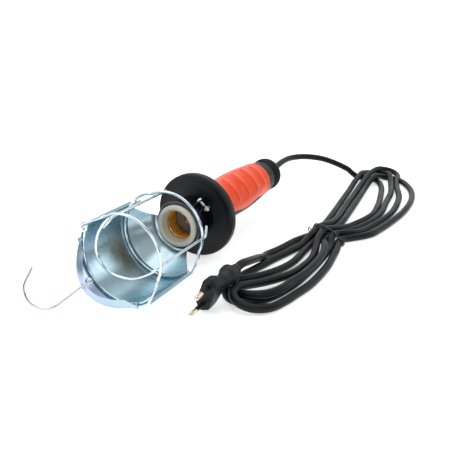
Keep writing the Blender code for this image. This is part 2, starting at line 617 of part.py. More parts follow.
def hook_route() -> list:
    """Points of the hook's wire, from the curl inside the lip to its free tip."""
    shank = Vector((-cos(HOOK_TILT) * cos(HOOK_LEAN), sin(HOOK_LEAN), -sin(HOOK_TILT)))
    shank.normalize()
    unroll = Matrix.Rotation(-ROLL, 3, "X")
    toward = unroll @ Vector(HOOK_TOWARD)
    toward = (toward - shank * toward.dot(shank)).normalized()
    hole = Vector(HOOK_HOLE)
    eye = hole - shank * (HOOK_INSIDE + HOOK_EYE_R)
    route = []
    for k in range(15):
        a = radians(205.0 - 280.0 * k / 14)
        route.append(eye + HOOK_EYE_R * (cos(a) * toward + sin(a) * -shank))
    route.append(hole - shank * (HOOK_INSIDE - 1.6))
    route.append(hole)
    bend = hole + shank * HOOK_SHANK
    route.append(hole.lerp(bend, 0.5))
    centre = bend + toward * HOOK_BEND_R
    for k in range(15):
        a = HOOK_BEND * k / 14
        route.append(centre + HOOK_BEND_R * (sin(a) * shank - cos(a) * toward))
    last = cos(HOOK_BEND) * shank + sin(HOOK_BEND) * toward
    route.append(route[-1] + last * HOOK_POINT / 2)
    route.append(route[-2] + last * HOOK_POINT)
    return route


def make_lead(parent, sheath, tie_finish) -> None:
    """The lead and the tail as round cable, and the tied hank between them as one bundle."""
    tube("cord_lead", smooth_route(LEAD_ROUTE, 8.0), CORD_R, sheath, parent, resolution=3)
    face, back = Vector(PLUG_FACE), -Vector(PLUG_PINS).normalized()
    exits = [face + back * (PLUG_LENGTH + GAP), face + back * (PLUG_LENGTH + 9.0)]
    tail = smooth_route([*exits, *TAIL_ROUTE], 8.0)
    tube("cord_tail", tail, CORD_R, sheath, parent, resolution=3)
    left, right = min(x for x, _ in HANK_OUTLINE), max(x for x, _ in HANK_OUTLINE)

    def top(x: float) -> float:
        return HANK_LOW + HANK_THIN + (HANK_THICK - HANK_THIN) * (x - left) / (right - left)

    bm = bmesh.new()
    rings = [[bm.verts.new(Vector((x, y, z or top(x))) * MM) for x, y in HANK_OUTLINE]
             for z in (HANK_LOW, None)]
    for k, a in enumerate(rings[0]):
        b = (k + 1) % len(rings[0])
        bm.faces.new((a, rings[0][b], rings[1][b], rings[1][k]))
    bm.faces.new(rings[0][::-1])
    bm.faces.new(rings[1])
    bmesh.ops.triangulate(bm, faces=[f for f in bm.faces if len(f.verts) > 4])
    from_bmesh("cord_hank", bm, sheath, parent, smooth=False)

    def crossing(far: bool) -> float:
        found = []
        for (x0, y0), (x1, y1) in zip(HANK_OUTLINE, HANK_OUTLINE[1:]):
            if min(x0, x1) <= TIE_X <= max(x0, x1) and x0 != x1:
                found.append(y0 + (y1 - y0) * (TIE_X - x0) / (x1 - x0))
        return max(found) if far else min(found)

    low = (crossing(False) - GAP - 1.0, HANK_LOW - GAP)
    high = (crossing(True) + GAP + 0.6, top(TIE_X + TIE_WIDTH) + GAP)
    loops = []
    for x, grow in ((-1, 0.0), (-1, TIE_SHEET), (1, TIE_SHEET), (1, 0.0), (-1, 0.0)):
        x = TIE_X + x * TIE_WIDTH / 2
        loops.append([(x, low[0] - grow, low[1] - grow), (x, high[0] + grow, low[1] - grow),
                      (x, high[0] + grow, high[1] + grow), (x, low[0] - grow, high[1] + grow)])
    bm = bmesh.new()
    skin(bm, loops, around=True)
    from_bmesh("cord_tie", bm, tie_finish, parent, smooth=False)


def make_plug(parent, black, gloss, brass) -> None:
    """The flat two-pin plug with its tapered relief, pins and pin sleeves."""
    across = []
    half_w, half_t = PLUG_WIDTH / 2, PLUG_THICK / 2
    face = [(half_w, 0), (12.0, half_t), (-12.0, half_t), (-half_w, 0), (-12.0, -half_t),
            (12.0, -half_t)]
    for k in range(6):
        (w0, t0), (w1, t1) = face[k], face[(k + 1) % 6]
        across += [(w0 + (w1 - w0) * j / 4, t0 + (t1 - t0) * j / 4) for j in range(4)]
    rows = []
    for back, wide, round_share in ((0.0, 1.0, 0.0), (1.0, 1.0, 0.0), (9.0, 0.96, 0.0),
                                    (15.0, 0.74, 0.2), (20.0, 0.5, 0.55), (PLUG_NECK, 0.36, 1.0)):
        row = []
        for w, t in across:
            length = hypot(w, t)
            circle = (w / length * 5.6, t / length * 5.6)
            row.append((-back, (w * wide) * (1 - round_share) + circle[0] * round_share,
                        t * (1 - 0.1 * round_share) * (1 - round_share) + circle[1] * round_share))
        rows.append(row)
    bm = bmesh.new()
    grid = skin(bm, rows, around=True)
    bm.faces.new(grid[0])
    bm.faces.new(grid[-1][::-1])
    body = from_bmesh("plug_body", bm, black, parent)
    holes = bmesh.new()
    for number, side in ((1, 1), (2, -1)):
        y = side * PIN_SPACING / 2
        pins, sleeves = bmesh.new(), bmesh.new()
        lathe(holes, [(-11, 0), (-11, 2.3), (1, 2.3), (1, 0)], (0, y, 0), (1, 0, 0), 16)
        lathe(pins, [(-10.7, 0), (-10.7, 1.2), (PIN_SLEEVE + GAP, 1.2), (PIN_SLEEVE + GAP, PIN_R),
                     (PIN_LENGTH - 1.0, PIN_R), (PIN_LENGTH, 1.1), (PIN_LENGTH, 0)],
              (0, y, 0), (1, 0, 0), 14)
        lathe(sleeves, [(-10.5, 1.4), (-10.5, PIN_R - 0.05), (PIN_SLEEVE, PIN_R - 0.05),
                        (PIN_SLEEVE, 1.4)], (0, y, 0), (1, 0, 0), 14)
        from_bmesh(f"plug_pin_{number}", pins, brass, parent)
        from_bmesh(f"plug_pin_sleeve_{number}", sleeves, black, parent)
    cut(body, holes)
    start = -PLUG_NECK - GAP
    turned("plug_relief", [
        (start, 0), (start, 5.8), (start - 4.0, 6.4), (start - 8.0, 9.0), (start - 13.0, 9.4),
        (start - 14.0, 8.2), (start - 14.5, 5.4), (-PLUG_LENGTH, 4.7), (-PLUG_LENGTH, 0)],
        gloss, parent, segments=20)


def empty(name: str, parent=None) -> bpy.types.Object:
    """An empty that carries other pieces."""
    made = bpy.data.objects.new(name, None)
    bpy.context.scene.collection.objects.link(made)
    made.parent = parent
    return made


def main() -> None:
    """Build every piece."""
    clear_scene()
    black = material("black_plastic", (0.03, 0.03, 0.035), 0.6)
    gloss = material("gloss_black", (0.02, 0.025, 0.05), 0.25)
    rubber = material("black_rubber", (0.025, 0.025, 0.025), 0.7)
    orange = material("orange_rubber", (0.85, 0.08, 0.02), 0.5)
    porcelain = material("porcelain", (0.78, 0.76, 0.70), 0.35)
    brass = material("brass", (0.75, 0.55, 0.25), 0.35, 1.0)
    copper = material("copper", (0.75, 0.35, 0.22), 0.4, 1.0)
    fibre = material("fibre_plate", (0.75, 0.68, 0.52), 0.8)
    steel = material("bright_steel", (0.72, 0.73, 0.75), 0.3, 1.0)
    zinc = material("zinc_plate", (0.62, 0.68, 0.78), 0.35, 1.0)
    blued = material("blue_passivate", (0.45, 0.60, 0.78), 0.35, 1.0)
    sheath = material("black_cable", (0.02, 0.02, 0.022), 0.5)
    brown = material("brown_core", (0.25, 0.12, 0.06), 0.5)
    blue = material("blue_core", (0.05, 0.2, 0.6), 0.5)

    ground = empty("ground")
    ground.location = (-ORIGIN[0] * MM, -ORIGIN[1] * MM, 0)
    lamp = empty("lamp_axis", ground)
    lamp.location = (0, 0, AXIS_HEIGHT * MM)
    lamp.rotation_euler = (ROLL, 0, 0)

    make_handle(lamp, black, orange)
    make_cap(lamp, black, rubber)
    make_cord_clamp(lamp, black, steel, sheath, brown, blue)
    make_holder(lamp, black, gloss, porcelain, brass, fibre, copper, steel)
    make_strap(lamp, steel)
    make_reflector(lamp, blued, zinc)
    make_hoops(lamp, zinc)

    hinge = empty("guard_hinge", lamp)
    make_guard(hinge, zinc)
    tube("hook", hook_route(), WIRE_R, zinc, lamp)

    make_lead(ground, sheath, black)
    plug = empty("plug_frame", ground)
    pins, wide = Vector(PLUG_PINS).normalized(), Vector(PLUG_ACROSS)
    wide = (wide - pins * wide.dot(pins)).normalized()
    turn = Matrix((pins, wide, pins.cross(wide))).transposed().to_4x4()
    plug.matrix_local = Matrix.Translation(Vector(PLUG_FACE) * MM) @ turn
    make_plug(plug, black, gloss, brass)


main()
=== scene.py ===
"""Visual model of a hand inspection lamp with its mains lead tied in a hank.

Every sub-assembly is a class: its fields are the sizes in millimetres, and its methods build
and dress the pieces. The lamp's own frame has x along the handle, from the hook to the lead,
y across to the guard's hinge, and z out of the reflector's opening. The surface frame has the
same x and y origin, with z up from the surface that everything lies on.
"""

import json
import logging
from dataclasses import dataclass, field
from enum import Enum
from math import cos, exp, hypot, pi, radians, sin, sqrt
from typing import Iterable, Sequence

import bmesh
import bpy
import numpy as np
from mathutils import Matrix, Vector


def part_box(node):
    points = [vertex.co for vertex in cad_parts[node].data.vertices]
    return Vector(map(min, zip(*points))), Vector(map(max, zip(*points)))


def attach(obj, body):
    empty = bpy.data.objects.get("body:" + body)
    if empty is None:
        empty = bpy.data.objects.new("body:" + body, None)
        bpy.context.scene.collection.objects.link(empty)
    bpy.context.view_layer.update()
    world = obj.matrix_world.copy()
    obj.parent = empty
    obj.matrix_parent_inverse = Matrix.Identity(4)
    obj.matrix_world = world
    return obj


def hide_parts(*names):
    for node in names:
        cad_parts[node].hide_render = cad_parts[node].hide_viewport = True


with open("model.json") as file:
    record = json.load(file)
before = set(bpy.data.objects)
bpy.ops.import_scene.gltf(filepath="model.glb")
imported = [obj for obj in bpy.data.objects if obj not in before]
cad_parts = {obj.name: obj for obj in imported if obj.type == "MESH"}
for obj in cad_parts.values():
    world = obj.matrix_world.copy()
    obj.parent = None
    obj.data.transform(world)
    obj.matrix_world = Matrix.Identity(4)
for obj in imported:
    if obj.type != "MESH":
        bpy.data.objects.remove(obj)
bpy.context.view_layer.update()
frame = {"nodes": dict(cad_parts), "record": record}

MM = 0.001
ROLL = radians(42.0)
DISC_SWELL = 0.6
AXIS_CORE = 0.01
LOG = logging.getLogger("lamp")

Point = tuple[float, float, float]
Profile = Sequence[tuple[float, float]]


class Body(Enum):
    """The rigid bodies that a piece can ride on."""

    LAMP = "lamp"
    GUARD = "guard"
    HOOK = "hook"


def find_frames() -> tuple[Matrix, Matrix]:
    """Find the lamp's frame and the surface's from the disc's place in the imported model.

    Returns:
        The lamp frame and the surface frame, as matrices from metres to metres.
    """
    low, high = (Vector(corner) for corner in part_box("disc_guard"))
    middle = (low + high) / 2
    surface = Matrix.Translation((low.x + DISC_SWELL * MM, middle.y, 0.0))
    lamp = surface @ Matrix.Translation((0, 0, middle.z)) @ Matrix.Rotation(ROLL, 4, "X")
    return lamp, surface


LAMP_FRAME, SURFACE_FRAME = find_frames()


# ---------------------------------------------------------------- shader boards and groups


class Board:
    """Adds and joins the nodes of one shader or geometry tree."""

    def __init__(self, tree: bpy.types.NodeTree) -> None:
        """Take hold of a tree.

        Args:
            tree: The node tree that the nodes go into.
        """
        self.tree = tree

    def add(self, kind: str, inputs: dict | None = None, **settings: object) -> bpy.types.Node:
        """Add one node.

        Args:
            kind: The node's type name.
            inputs: Values or source sockets by input name or index.
            **settings: Properties set on the node itself.

        Returns:
            The new node.
        """
        node = self.tree.nodes.new(kind)
        for key, value in settings.items():
            setattr(node, key, value)
        for key, value in (inputs or {}).items():
            if isinstance(value, bpy.types.NodeSocket):
                self.tree.links.new(value, node.inputs[key])
            else:
                node.inputs[key].default_value = value
        return node

    def ramp(self, source: bpy.types.NodeSocket, stops: Sequence[tuple]) -> bpy.types.NodeSocket:
        """Add a colour ramp.

        Args:
            source: The factor.
            stops: (position, colour) pairs, where a colour is RGB or one grey value.

        Returns:
            The ramp's colour output.
        """
        node = self.add("ShaderNodeValToRGB", {"Fac": source})
        strip = node.color_ramp
        strip.interpolation = "EASE"
        while len(strip.elements) < len(stops):
            strip.elements.new(0.5)
        for element, (position, colour) in zip(strip.elements, stops):
            element.position = position
            rgb = (colour,) * 3 if isinstance(colour, (int, float)) else colour
            element.color = (*rgb, 1.0)
        return node.outputs["Color"]

    def mix(self, factor: object, first: object, second: object) -> bpy.types.NodeSocket:
        """Mix two colours.

        Args:
            factor: A number or a socket from 0, the first colour, to 1, the second.
            first: An RGB colour or a socket.
            second: An RGB colour or a socket.

        Returns:
            The mixed colour.
        """
        node = self.add("ShaderNodeMix", data_type="RGBA")
        for socket, value in ((node.inputs[0], factor), (node.inputs[6], first), (node.inputs[7], second)):
            if isinstance(value, bpy.types.NodeSocket):
                self.tree.links.new(value, socket)
            else:
                socket.default_value = (*value, 1.0) if isinstance(value, tuple) else value
        return node.outputs[2]

    def rescale(self, source: bpy.types.NodeSocket, taken: tuple[float, float] = (0.0, 1.0),
                given: tuple[float, float] = (0.0, 1.0)) -> bpy.types.NodeSocket:
        """Add a Map Range node.

        Args:
            source: The value.
            taken: The range that it is taken to have.
            given: The range that it is given instead.

        Returns:
            The new value.
        """
        node = self.add("ShaderNodeMapRange", {"Value": source, "From Min": taken[0], "From Max": taken[1],
                                               "To Min": given[0], "To Max": given[1]})
        return node.outputs["Result"]

    def math(self, operation: str, first: object, second: object = 0.0) -> bpy.types.NodeSocket:
        """Add a Math node.

        Args:
            operation: The name of its operation.
            first: A number or a socket.
            second: A number or a socket.

        Returns:
            The result.
        """
        return self.add("ShaderNodeMath", {0: first, 1: second}, operation=operation).outputs[0]


def shader_group(name: str, inputs: Sequence[tuple], outputs: Sequence[tuple]) -> tuple:
    """Start a shader group with named sockets.

    Args:
        name: The group's name.
        inputs: (name, socket type, default) for each input.
        outputs: (name, socket type) for each output.

    Returns:
        The tree, its board, the input node and the output node.
    """
    tree = bpy.data.node_groups.new(name, "ShaderNodeTree")
    for label, kind, default in inputs:
        socket = tree.interface.new_socket(label, in_out="INPUT", socket_type=kind)
        socket.default_value = default
    for label, kind in outputs:
        tree.interface.new_socket(label, in_out="OUTPUT", socket_type=kind)
    board = Board(tree)
    return tree, board, board.add("NodeGroupInput"), board.add("NodeGroupOutput")


def build_mould_grain() -> bpy.types.NodeTree:
    """Group of the fine spark-eroded grain of a moulded piece.

    Returns:
        The group, which gives a Normal and a Mask of soft patches.
    """
    tree, board, given, out = shader_group(
        "mould_grain",
        [("Scale", "NodeSocketFloat", 900.0), ("Strength", "NodeSocketFloat", 0.25),
         ("Patch Scale", "NodeSocketFloat", 40.0)],
        [("Normal", "NodeSocketVector"), ("Mask", "NodeSocketFloat")])
    place = board.add("ShaderNodeTexCoord").outputs["Object"]
    grain = board.add("ShaderNodeTexNoise", {"Vector": place, "Scale": given.outputs["Scale"],
                                             "Detail": 3.0, "Roughness": 0.6})
    pits = board.add("ShaderNodeTexVoronoi", {"Vector": place, "Scale": given.outputs["Scale"]})
    height = board.math("ADD", grain.outputs["Fac"], board.math("MULTIPLY", pits.outputs["Distance"], 0.4))
    bump = board.add("ShaderNodeBump", {"Height": height, "Strength": given.outputs["Strength"],
                                        "Distance": 0.00012})
    patch = board.add("ShaderNodeTexNoise", {"Vector": place, "Scale": given.outputs["Patch Scale"],
                                             "Detail": 4.0, "Roughness": 0.55})
    soft = board.rescale(patch.outputs["Fac"], (0.35, 0.65))
    board.tree.links.new(bump.outputs["Normal"], out.inputs["Normal"])
    board.tree.links.new(soft, out.inputs["Mask"])
    return tree


def build_plating() -> bpy.types.NodeTree:
    """Group of the cloudy blue, cyan and violet tint of passivated zinc plate.

    Returns:
        The group, which gives a Color, a Mask of streaks and a Normal.
    """
    tree, board, given, out = shader_group(
        "zinc_plating",
        [("Scale", "NodeSocketFloat", 18.0), ("Stretch", "NodeSocketVector", (1.0, 1.0, 1.0)),
         ("Pale", "NodeSocketColor", (0.72, 0.78, 0.82, 1.0)),
         ("Tint", "NodeSocketColor", (0.38, 0.62, 0.74, 1.0)),
         ("Glint", "NodeSocketColor", (0.55, 0.50, 0.78, 1.0))],
        [("Color", "NodeSocketColor"), ("Mask", "NodeSocketFloat"), ("Normal", "NodeSocketVector")])
    place = board.add("ShaderNodeTexCoord").outputs["Object"]
    scaled = board.add("ShaderNodeVectorMath", {0: place, 1: given.outputs["Stretch"]}, operation="MULTIPLY")
    cloud = board.add("ShaderNodeTexNoise", {"Vector": scaled.outputs[0], "Scale": given.outputs["Scale"],
                                             "Detail": 1.0, "Roughness": 0.4, "Distortion": 0.3})
    fine = board.add("ShaderNodeTexNoise", {"Vector": scaled.outputs[0], "Scale": 140.0,
                                            "Detail": 1.5, "Roughness": 0.4})
    amount = board.rescale(cloud.outputs["Fac"], (0.25, 0.75))
    blue = board.mix(amount, given.outputs["Pale"], given.outputs["Tint"])
    rare = board.rescale(cloud.outputs["Fac"], (0.58, 0.72))
    colour = board.mix(rare, blue, given.outputs["Glint"])
    bump = board.add("ShaderNodeBump", {"Height": fine.outputs["Fac"], "Strength": 0.03, "Distance": 0.00003})
    board.tree.links.new(colour, out.inputs["Color"])
    board.tree.links.new(fine.outputs["Fac"], out.inputs["Mask"])
    board.tree.links.new(bump.outputs["Normal"], out.inputs["Normal"])
    return tree


GRAIN = build_mould_grain()
PLATING = build_plating()


# ---------------------------------------------------------------- finishes


@dataclass(frozen=True)
class Finish:
    """One finish: a name, the record's slot it belongs to, and how it answers light."""

    name: str
    slot: str
    colour: tuple[float, float, float]
    roughness: float = 0.5

    def material(self) -> bpy.types.Material:
        """Give the material, built on first use."""
        made = bpy.data.materials.get(self.name)
        if made is None:
            made = bpy.data.materials.new(self.name)
            made.use_nodes = True
            board = Board(made.node_tree)
            self.dress(board, made.node_tree.nodes["Principled BSDF"])
            made.diffuse_color = (*self.colour, 1.0)
        return made

    def dress(self, board: Board, shader: bpy.types.Node) -> None:
        """Wire the material's nodes.

        Args:
            board: The material's board.
            shader: Its Principled shader.
        """
        raise NotImplementedError


@dataclass(frozen=True)
class Moulding(Finish):
    """Moulded plastic or rubber with a fine grain and soft patches of handling."""

    grain: float = 900.0
    relief: float = 0.25
    patchy: float = 0.12
    lighten: float = 1.5
    coat: float = 0.0
    subsurface: float = 0.0
    specular: float = 0.5

    def dress(self, board: Board, shader: bpy.types.Node) -> None:
        """Wire the grain into the normal, and the patches into colour and roughness."""
        group = board.add("ShaderNodeGroup", node_tree=GRAIN)
        group.inputs["Scale"].default_value = self.grain
        group.inputs["Strength"].default_value = self.relief
        patch = group.outputs["Mask"]
        worn = tuple(min(1.0, c * self.lighten + 0.002) for c in self.colour)
        board.tree.links.new(board.mix(patch, self.colour, worn), shader.inputs["Base Color"])
        half = self.patchy / 2
        rough = board.rescale(patch, given=(self.roughness - half, self.roughness + half))
        board.tree.links.new(rough, shader.inputs["Roughness"])
        board.tree.links.new(group.outputs["Normal"], shader.inputs["Normal"])
        shader.inputs["Specular IOR Level"].default_value = self.specular
        shader.inputs["Coat Weight"].default_value = self.coat
        shader.inputs["Coat Roughness"].default_value = 0.12
        shader.inputs["Subsurface Weight"].default_value = self.subsurface
        shader.inputs["Subsurface Scale"].default_value = 0.002


@dataclass(frozen=True)
class ZincPlate(Finish):
    """Bright zinc plate with a passivated tint, on sheet or wire."""

    tint: tuple[float, float, float] = (0.38, 0.62, 0.74)
    glint: tuple[float, float, float] = (0.55, 0.50, 0.78)
    edge: tuple[float, float, float] = (0.55, 0.85, 0.95)
    edge_amount: float = 0.35
    scale: float = 18.0
    stretch: tuple[float, float, float] = (1.0, 1.0, 1.0)

    def dress(self, board: Board, shader: bpy.types.Node) -> None:
        """Wire the cloudy tint, a cooler tint at grazing angles, and streaks in the roughness."""
        group = board.add("ShaderNodeGroup", node_tree=PLATING)
        group.inputs["Scale"].default_value = self.scale
        group.inputs["Stretch"].default_value = self.stretch
        group.inputs["Pale"].default_value = (*self.colour, 1.0)
        group.inputs["Tint"].default_value = (*self.tint, 1.0)
        group.inputs["Glint"].default_value = (*self.glint, 1.0)
        facing = board.add("ShaderNodeLayerWeight", {"Blend": 0.35}).outputs["Facing"]
        amount = board.math("MULTIPLY", facing, self.edge_amount)
        tinted = board.mix(amount, group.outputs["Color"], self.edge)
        board.tree.links.new(tinted, shader.inputs["Base Color"])
        rough = board.rescale(group.outputs["Mask"], (0.3, 0.7),
                              (self.roughness - 0.01, self.roughness + 0.015))
        board.tree.links.new(rough, shader.inputs["Roughness"])
        board.tree.links.new(group.outputs["Normal"], shader.inputs["Normal"])
        shader.inputs["Metallic"].default_value = 1.0


@dataclass(frozen=True)
class PlainMetal(Finish):
    """Brass, copper or nickel with tarnish in soft clouds."""

    tarnish: tuple[float, float, float] = (0.3, 0.2, 0.1)
    amount: float = 0.5
    scale: float = 90.0

    def dress(self, board: Board, shader: bpy.types.Node) -> None:
        """Wire the tarnish into colour and roughness, and fine tooling lines into the normal."""
        place = board.add("ShaderNodeTexCoord").outputs["Object"]
        cloud = board.add("ShaderNodeTexNoise", {"Vector": place, "Scale": self.scale, "Detail": 5.0})
        spots = board.rescale(cloud.outputs["Fac"], (0.42, 0.72), (0.0, self.amount))
        board.tree.links.new(board.mix(spots, self.colour, self.tarnish),
                             shader.inputs["Base Color"])
        rough = board.rescale(cloud.outputs["Fac"], given=(self.roughness - 0.08, self.roughness + 0.14))
        board.tree.links.new(rough, shader.inputs["Roughness"])
        lines = board.add("ShaderNodeTexNoise", {"Vector": place, "Scale": 1400.0, "Detail": 2.0})
        bump = board.add("ShaderNodeBump", {"Height": lines.outputs["Fac"], "Strength": 0.1,
                                            "Distance": 0.00005})
        board.tree.links.new(bump.outputs["Normal"], shader.inputs["Normal"])
        shader.inputs["Metallic"].default_value = 1.0


@dataclass(frozen=True)
class GlazedCeramic(Finish):
    """Unevenly glazed porcelain with small dark specks."""

    speck: tuple[float, float, float] = (0.30, 0.26, 0.22)

    def dress(self, board: Board, shader: bpy.types.Node) -> None:
        """Wire the specks and the thin glaze."""
        place = board.add("ShaderNodeTexCoord").outputs["Object"]
        cells = board.add("ShaderNodeTexVoronoi", {"Vector": place, "Scale": 420.0})
        dots = board.rescale(cells.outputs["Distance"], (0.10, 0.16), (1.0, 0.0))
        chosen = board.math("GREATER_THAN", board.add("ShaderNodeSeparateColor", {
            0: cells.outputs["Color"]}).outputs[0], 0.93)
        cloud = board.add("ShaderNodeTexNoise", {"Vector": place, "Scale": 120.0, "Detail": 4.0})
        shade = tuple(c * 0.86 for c in self.colour)
        ground = board.mix(cloud.outputs["Fac"], self.colour, shade)
        amount = board.math("MULTIPLY", dots, chosen)
        board.tree.links.new(board.mix(amount, ground, self.speck), shader.inputs["Base Color"])
        rough = board.rescale(cloud.outputs["Fac"], given=(self.roughness - 0.1, self.roughness + 0.12))
        board.tree.links.new(rough, shader.inputs["Roughness"])
        bump = board.add("ShaderNodeBump", {"Height": cloud.outputs["Fac"], "Strength": 0.15,
                                            "Distance": 0.0002})
        board.tree.links.new(bump.outputs["Normal"], shader.inputs["Normal"])
        shader.inputs["Coat Weight"].default_value = 0.3
        shader.inputs["Coat Roughness"].default_value = 0.1


@dataclass(frozen=True)
class Paper(Finish):
    """The matt white sweep that everything lies on."""

    glow: float = 0.55

    def dress(self, board: Board, shader: bpy.types.Node) -> None:
        """Wire a barely visible fibre into the sheet."""
        place = board.add("ShaderNodeTexCoord").outputs["Object"]
        fibre = board.add("ShaderNodeTexNoise", {"Vector": place, "Scale": 60.0, "Detail": 3.0})
        darker = tuple(c * 0.985 for c in self.colour)
        sheet = board.mix(fibre.outputs["Fac"], self.colour, darker)
        board.tree.links.new(sheet, shader.inputs["Base Color"])
        shader.inputs["Roughness"].default_value = self.roughness
        shader.inputs["Specular IOR Level"].default_value = 0.1
        shader.inputs["Emission Color"].default_value = (1.0, 1.0, 1.0, 1.0)
        shader.inputs["Emission Strength"].default_value = self.glow


BLACK_MOULDING = Moulding("matt_black_moulding", "black_plastic", (0.007, 0.0075, 0.009), 0.46, specular=0.2)
DISC_MOULDING = Moulding("charcoal_disc_moulding", "black_plastic", (0.007, 0.0075, 0.009), 0.40,
                         specular=0.24)
# Own gloss black with a painted blue sheen: the blue in this colour stands in for a reflection on the glossy
# sleeve and lip ring.
GLOSS_BLACK_AND_SHEEN = Moulding("gloss_black_moulding", "gloss_black", (0.010, 0.012, 0.022), 0.22,
                          relief=0.05, coat=0.5)
COLLAR_MOULDING = Moulding("satin_black_relief", "gloss_black", (0.009, 0.009, 0.011), 0.38, relief=0.12,
                           specular=0.34)
GLAND_RUBBER = Moulding("black_gland_rubber", "black_rubber", (0.020, 0.020, 0.022), 0.55)
ORANGE_RUBBER = Moulding("orange_soft_rubber", "orange_rubber", (0.88, 0.066, 0.006), 0.34, grain=700.0,
                         relief=0.08, lighten=1.05, specular=0.3)
SHEATH = Moulding("black_cable_sheath", "cable_sheath", (0.0045, 0.005, 0.006), 0.40, grain=1100.0,
                  relief=0.10, lighten=1.4, specular=0.2)
TIE_PLASTIC = Moulding("black_tie_covering", "tie_black", (0.010, 0.010, 0.011), 0.35, relief=0.1)
BROWN_CORE = Moulding("brown_core_insulation", "brown_core", (0.20, 0.09, 0.05), 0.4)
BLUE_CORE = Moulding("blue_core_insulation", "blue_core", (0.04, 0.16, 0.55), 0.4)
FIBRE_BOARD = Moulding("buff_fibre_board", "fibre", (0.17, 0.155, 0.13), 0.8, grain=300.0, lighten=1.3)
PORCELAIN = GlazedCeramic("cream_glazed_porcelain", "porcelain", (0.60, 0.57, 0.49), 0.34)
BRASS = PlainMetal("plain_brass", "brass", (0.88, 0.52, 0.14), 0.22, tarnish=(0.35, 0.17, 0.04))
PIN_METAL = PlainMetal("pin_brass", "brass", (0.80, 0.66, 0.52), 0.2, tarnish=(0.42, 0.30, 0.2), amount=0.35)
COPPER = PlainMetal("copper_spring", "copper", (0.80, 0.34, 0.20), 0.28, tarnish=(0.28, 0.10, 0.06))
NICKEL = PlainMetal("nickel_plate", "bright_steel", (0.74, 0.73, 0.70), 0.24, tarnish=(0.42, 0.39, 0.34))
# Own black finish with a painted blue sheen: the blue in this colour stands in for a reflection on the
# strap's glossy band.
STRAP_BLACK_AND_SHEEN = PlainMetal("blackened_strap_steel", "bright_steel", (0.035, 0.04, 0.06), 0.22,
                         tarnish=(0.10, 0.11, 0.14), amount=0.3)
ZINC_WIRE = ZincPlate("zinc_wire_plate", "zinc_wire", (0.80, 0.86, 0.88), 0.13, tint=(0.50, 0.68, 0.76),
                      glint=(0.62, 0.70, 0.80), edge=(0.34, 0.50, 0.62), edge_amount=0.5, scale=9.0)
HOOK_WIRE = ZincPlate("hook_wire_plate", "zinc_wire", (0.72, 0.76, 0.74), 0.16, tint=(0.56, 0.62, 0.62),
                      glint=(0.66, 0.66, 0.62), edge=(0.36, 0.42, 0.42), edge_amount=0.5, scale=9.0)
TROUGH_PLATE = ZincPlate("trough_zinc_plate", "blue_sheet", (0.60, 0.69, 0.72), 0.27, tint=(0.36, 0.52, 0.60),
                         glint=(0.50, 0.50, 0.66), edge=(0.30, 0.72, 0.90), edge_amount=0.55,
                         stretch=(1.0, 0.6, 0.6))
REAR_PLATE = ZincPlate("rear_zinc_plate", "blue_sheet", (0.62, 0.74, 0.78), 0.25, tint=(0.40, 0.58, 0.66),
                       glint=(0.58, 0.62, 0.72), edge=(0.36, 0.66, 0.80), edge_amount=0.5, scale=7.0)
SWEEP_PAPER = Paper("white_sweep_paper", "", (0.93, 0.93, 0.93), 0.9)
SLOT_FINISH = {made.slot: made for made in (
    BLACK_MOULDING, GLOSS_BLACK_AND_SHEEN, GLAND_RUBBER, ORANGE_RUBBER, PORCELAIN, BRASS, COPPER, FIBRE_BOARD,
    NICKEL, ZINC_WIRE, TROUGH_PLATE, SHEATH, TIE_PLASTIC, BROWN_CORE, BLUE_CORE)}


# ---------------------------------------------------------------- geometry tools


def rounded(profile: Profile, radius: float, steps: int = 3) -> list[tuple[float, float]]:
    """Round the corners of a closed profile.

    Args:
        profile: (distance, radius) corners in millimetres.
        radius: How far from each corner the rounding starts, at most.
        steps: The number of segments in each rounding.

    Returns:
        The corners of the rounded profile. Corners on the axis stay sharp.
    """
    found = []
    count = len(profile)
    for k, corner in enumerate(profile):
        here = Vector(corner)
        before, after = Vector(profile[k - 1]) - here, Vector(profile[(k + 1) % count]) - here
        reach = min(radius, before.length * 0.45, after.length * 0.45)
        if corner[1] <= 0 or reach < 1e-4:
            found.append(tuple(corner))
            continue
        start, end = here + before.normalized() * reach, here + after.normalized() * reach
        for j in range(steps + 1):
            t = j / steps
            found.append(tuple((1 - t) ** 2 * start + 2 * t * (1 - t) * here + t * t * end))
    return found


def rod(start: float, end: float, radius: float) -> list[tuple[float, float]]:
    """Give the profile of a plain solid rod or drill between two places on its line."""
    return [(start, AXIS_CORE), (start, radius), (end, radius), (end, AXIS_CORE)]


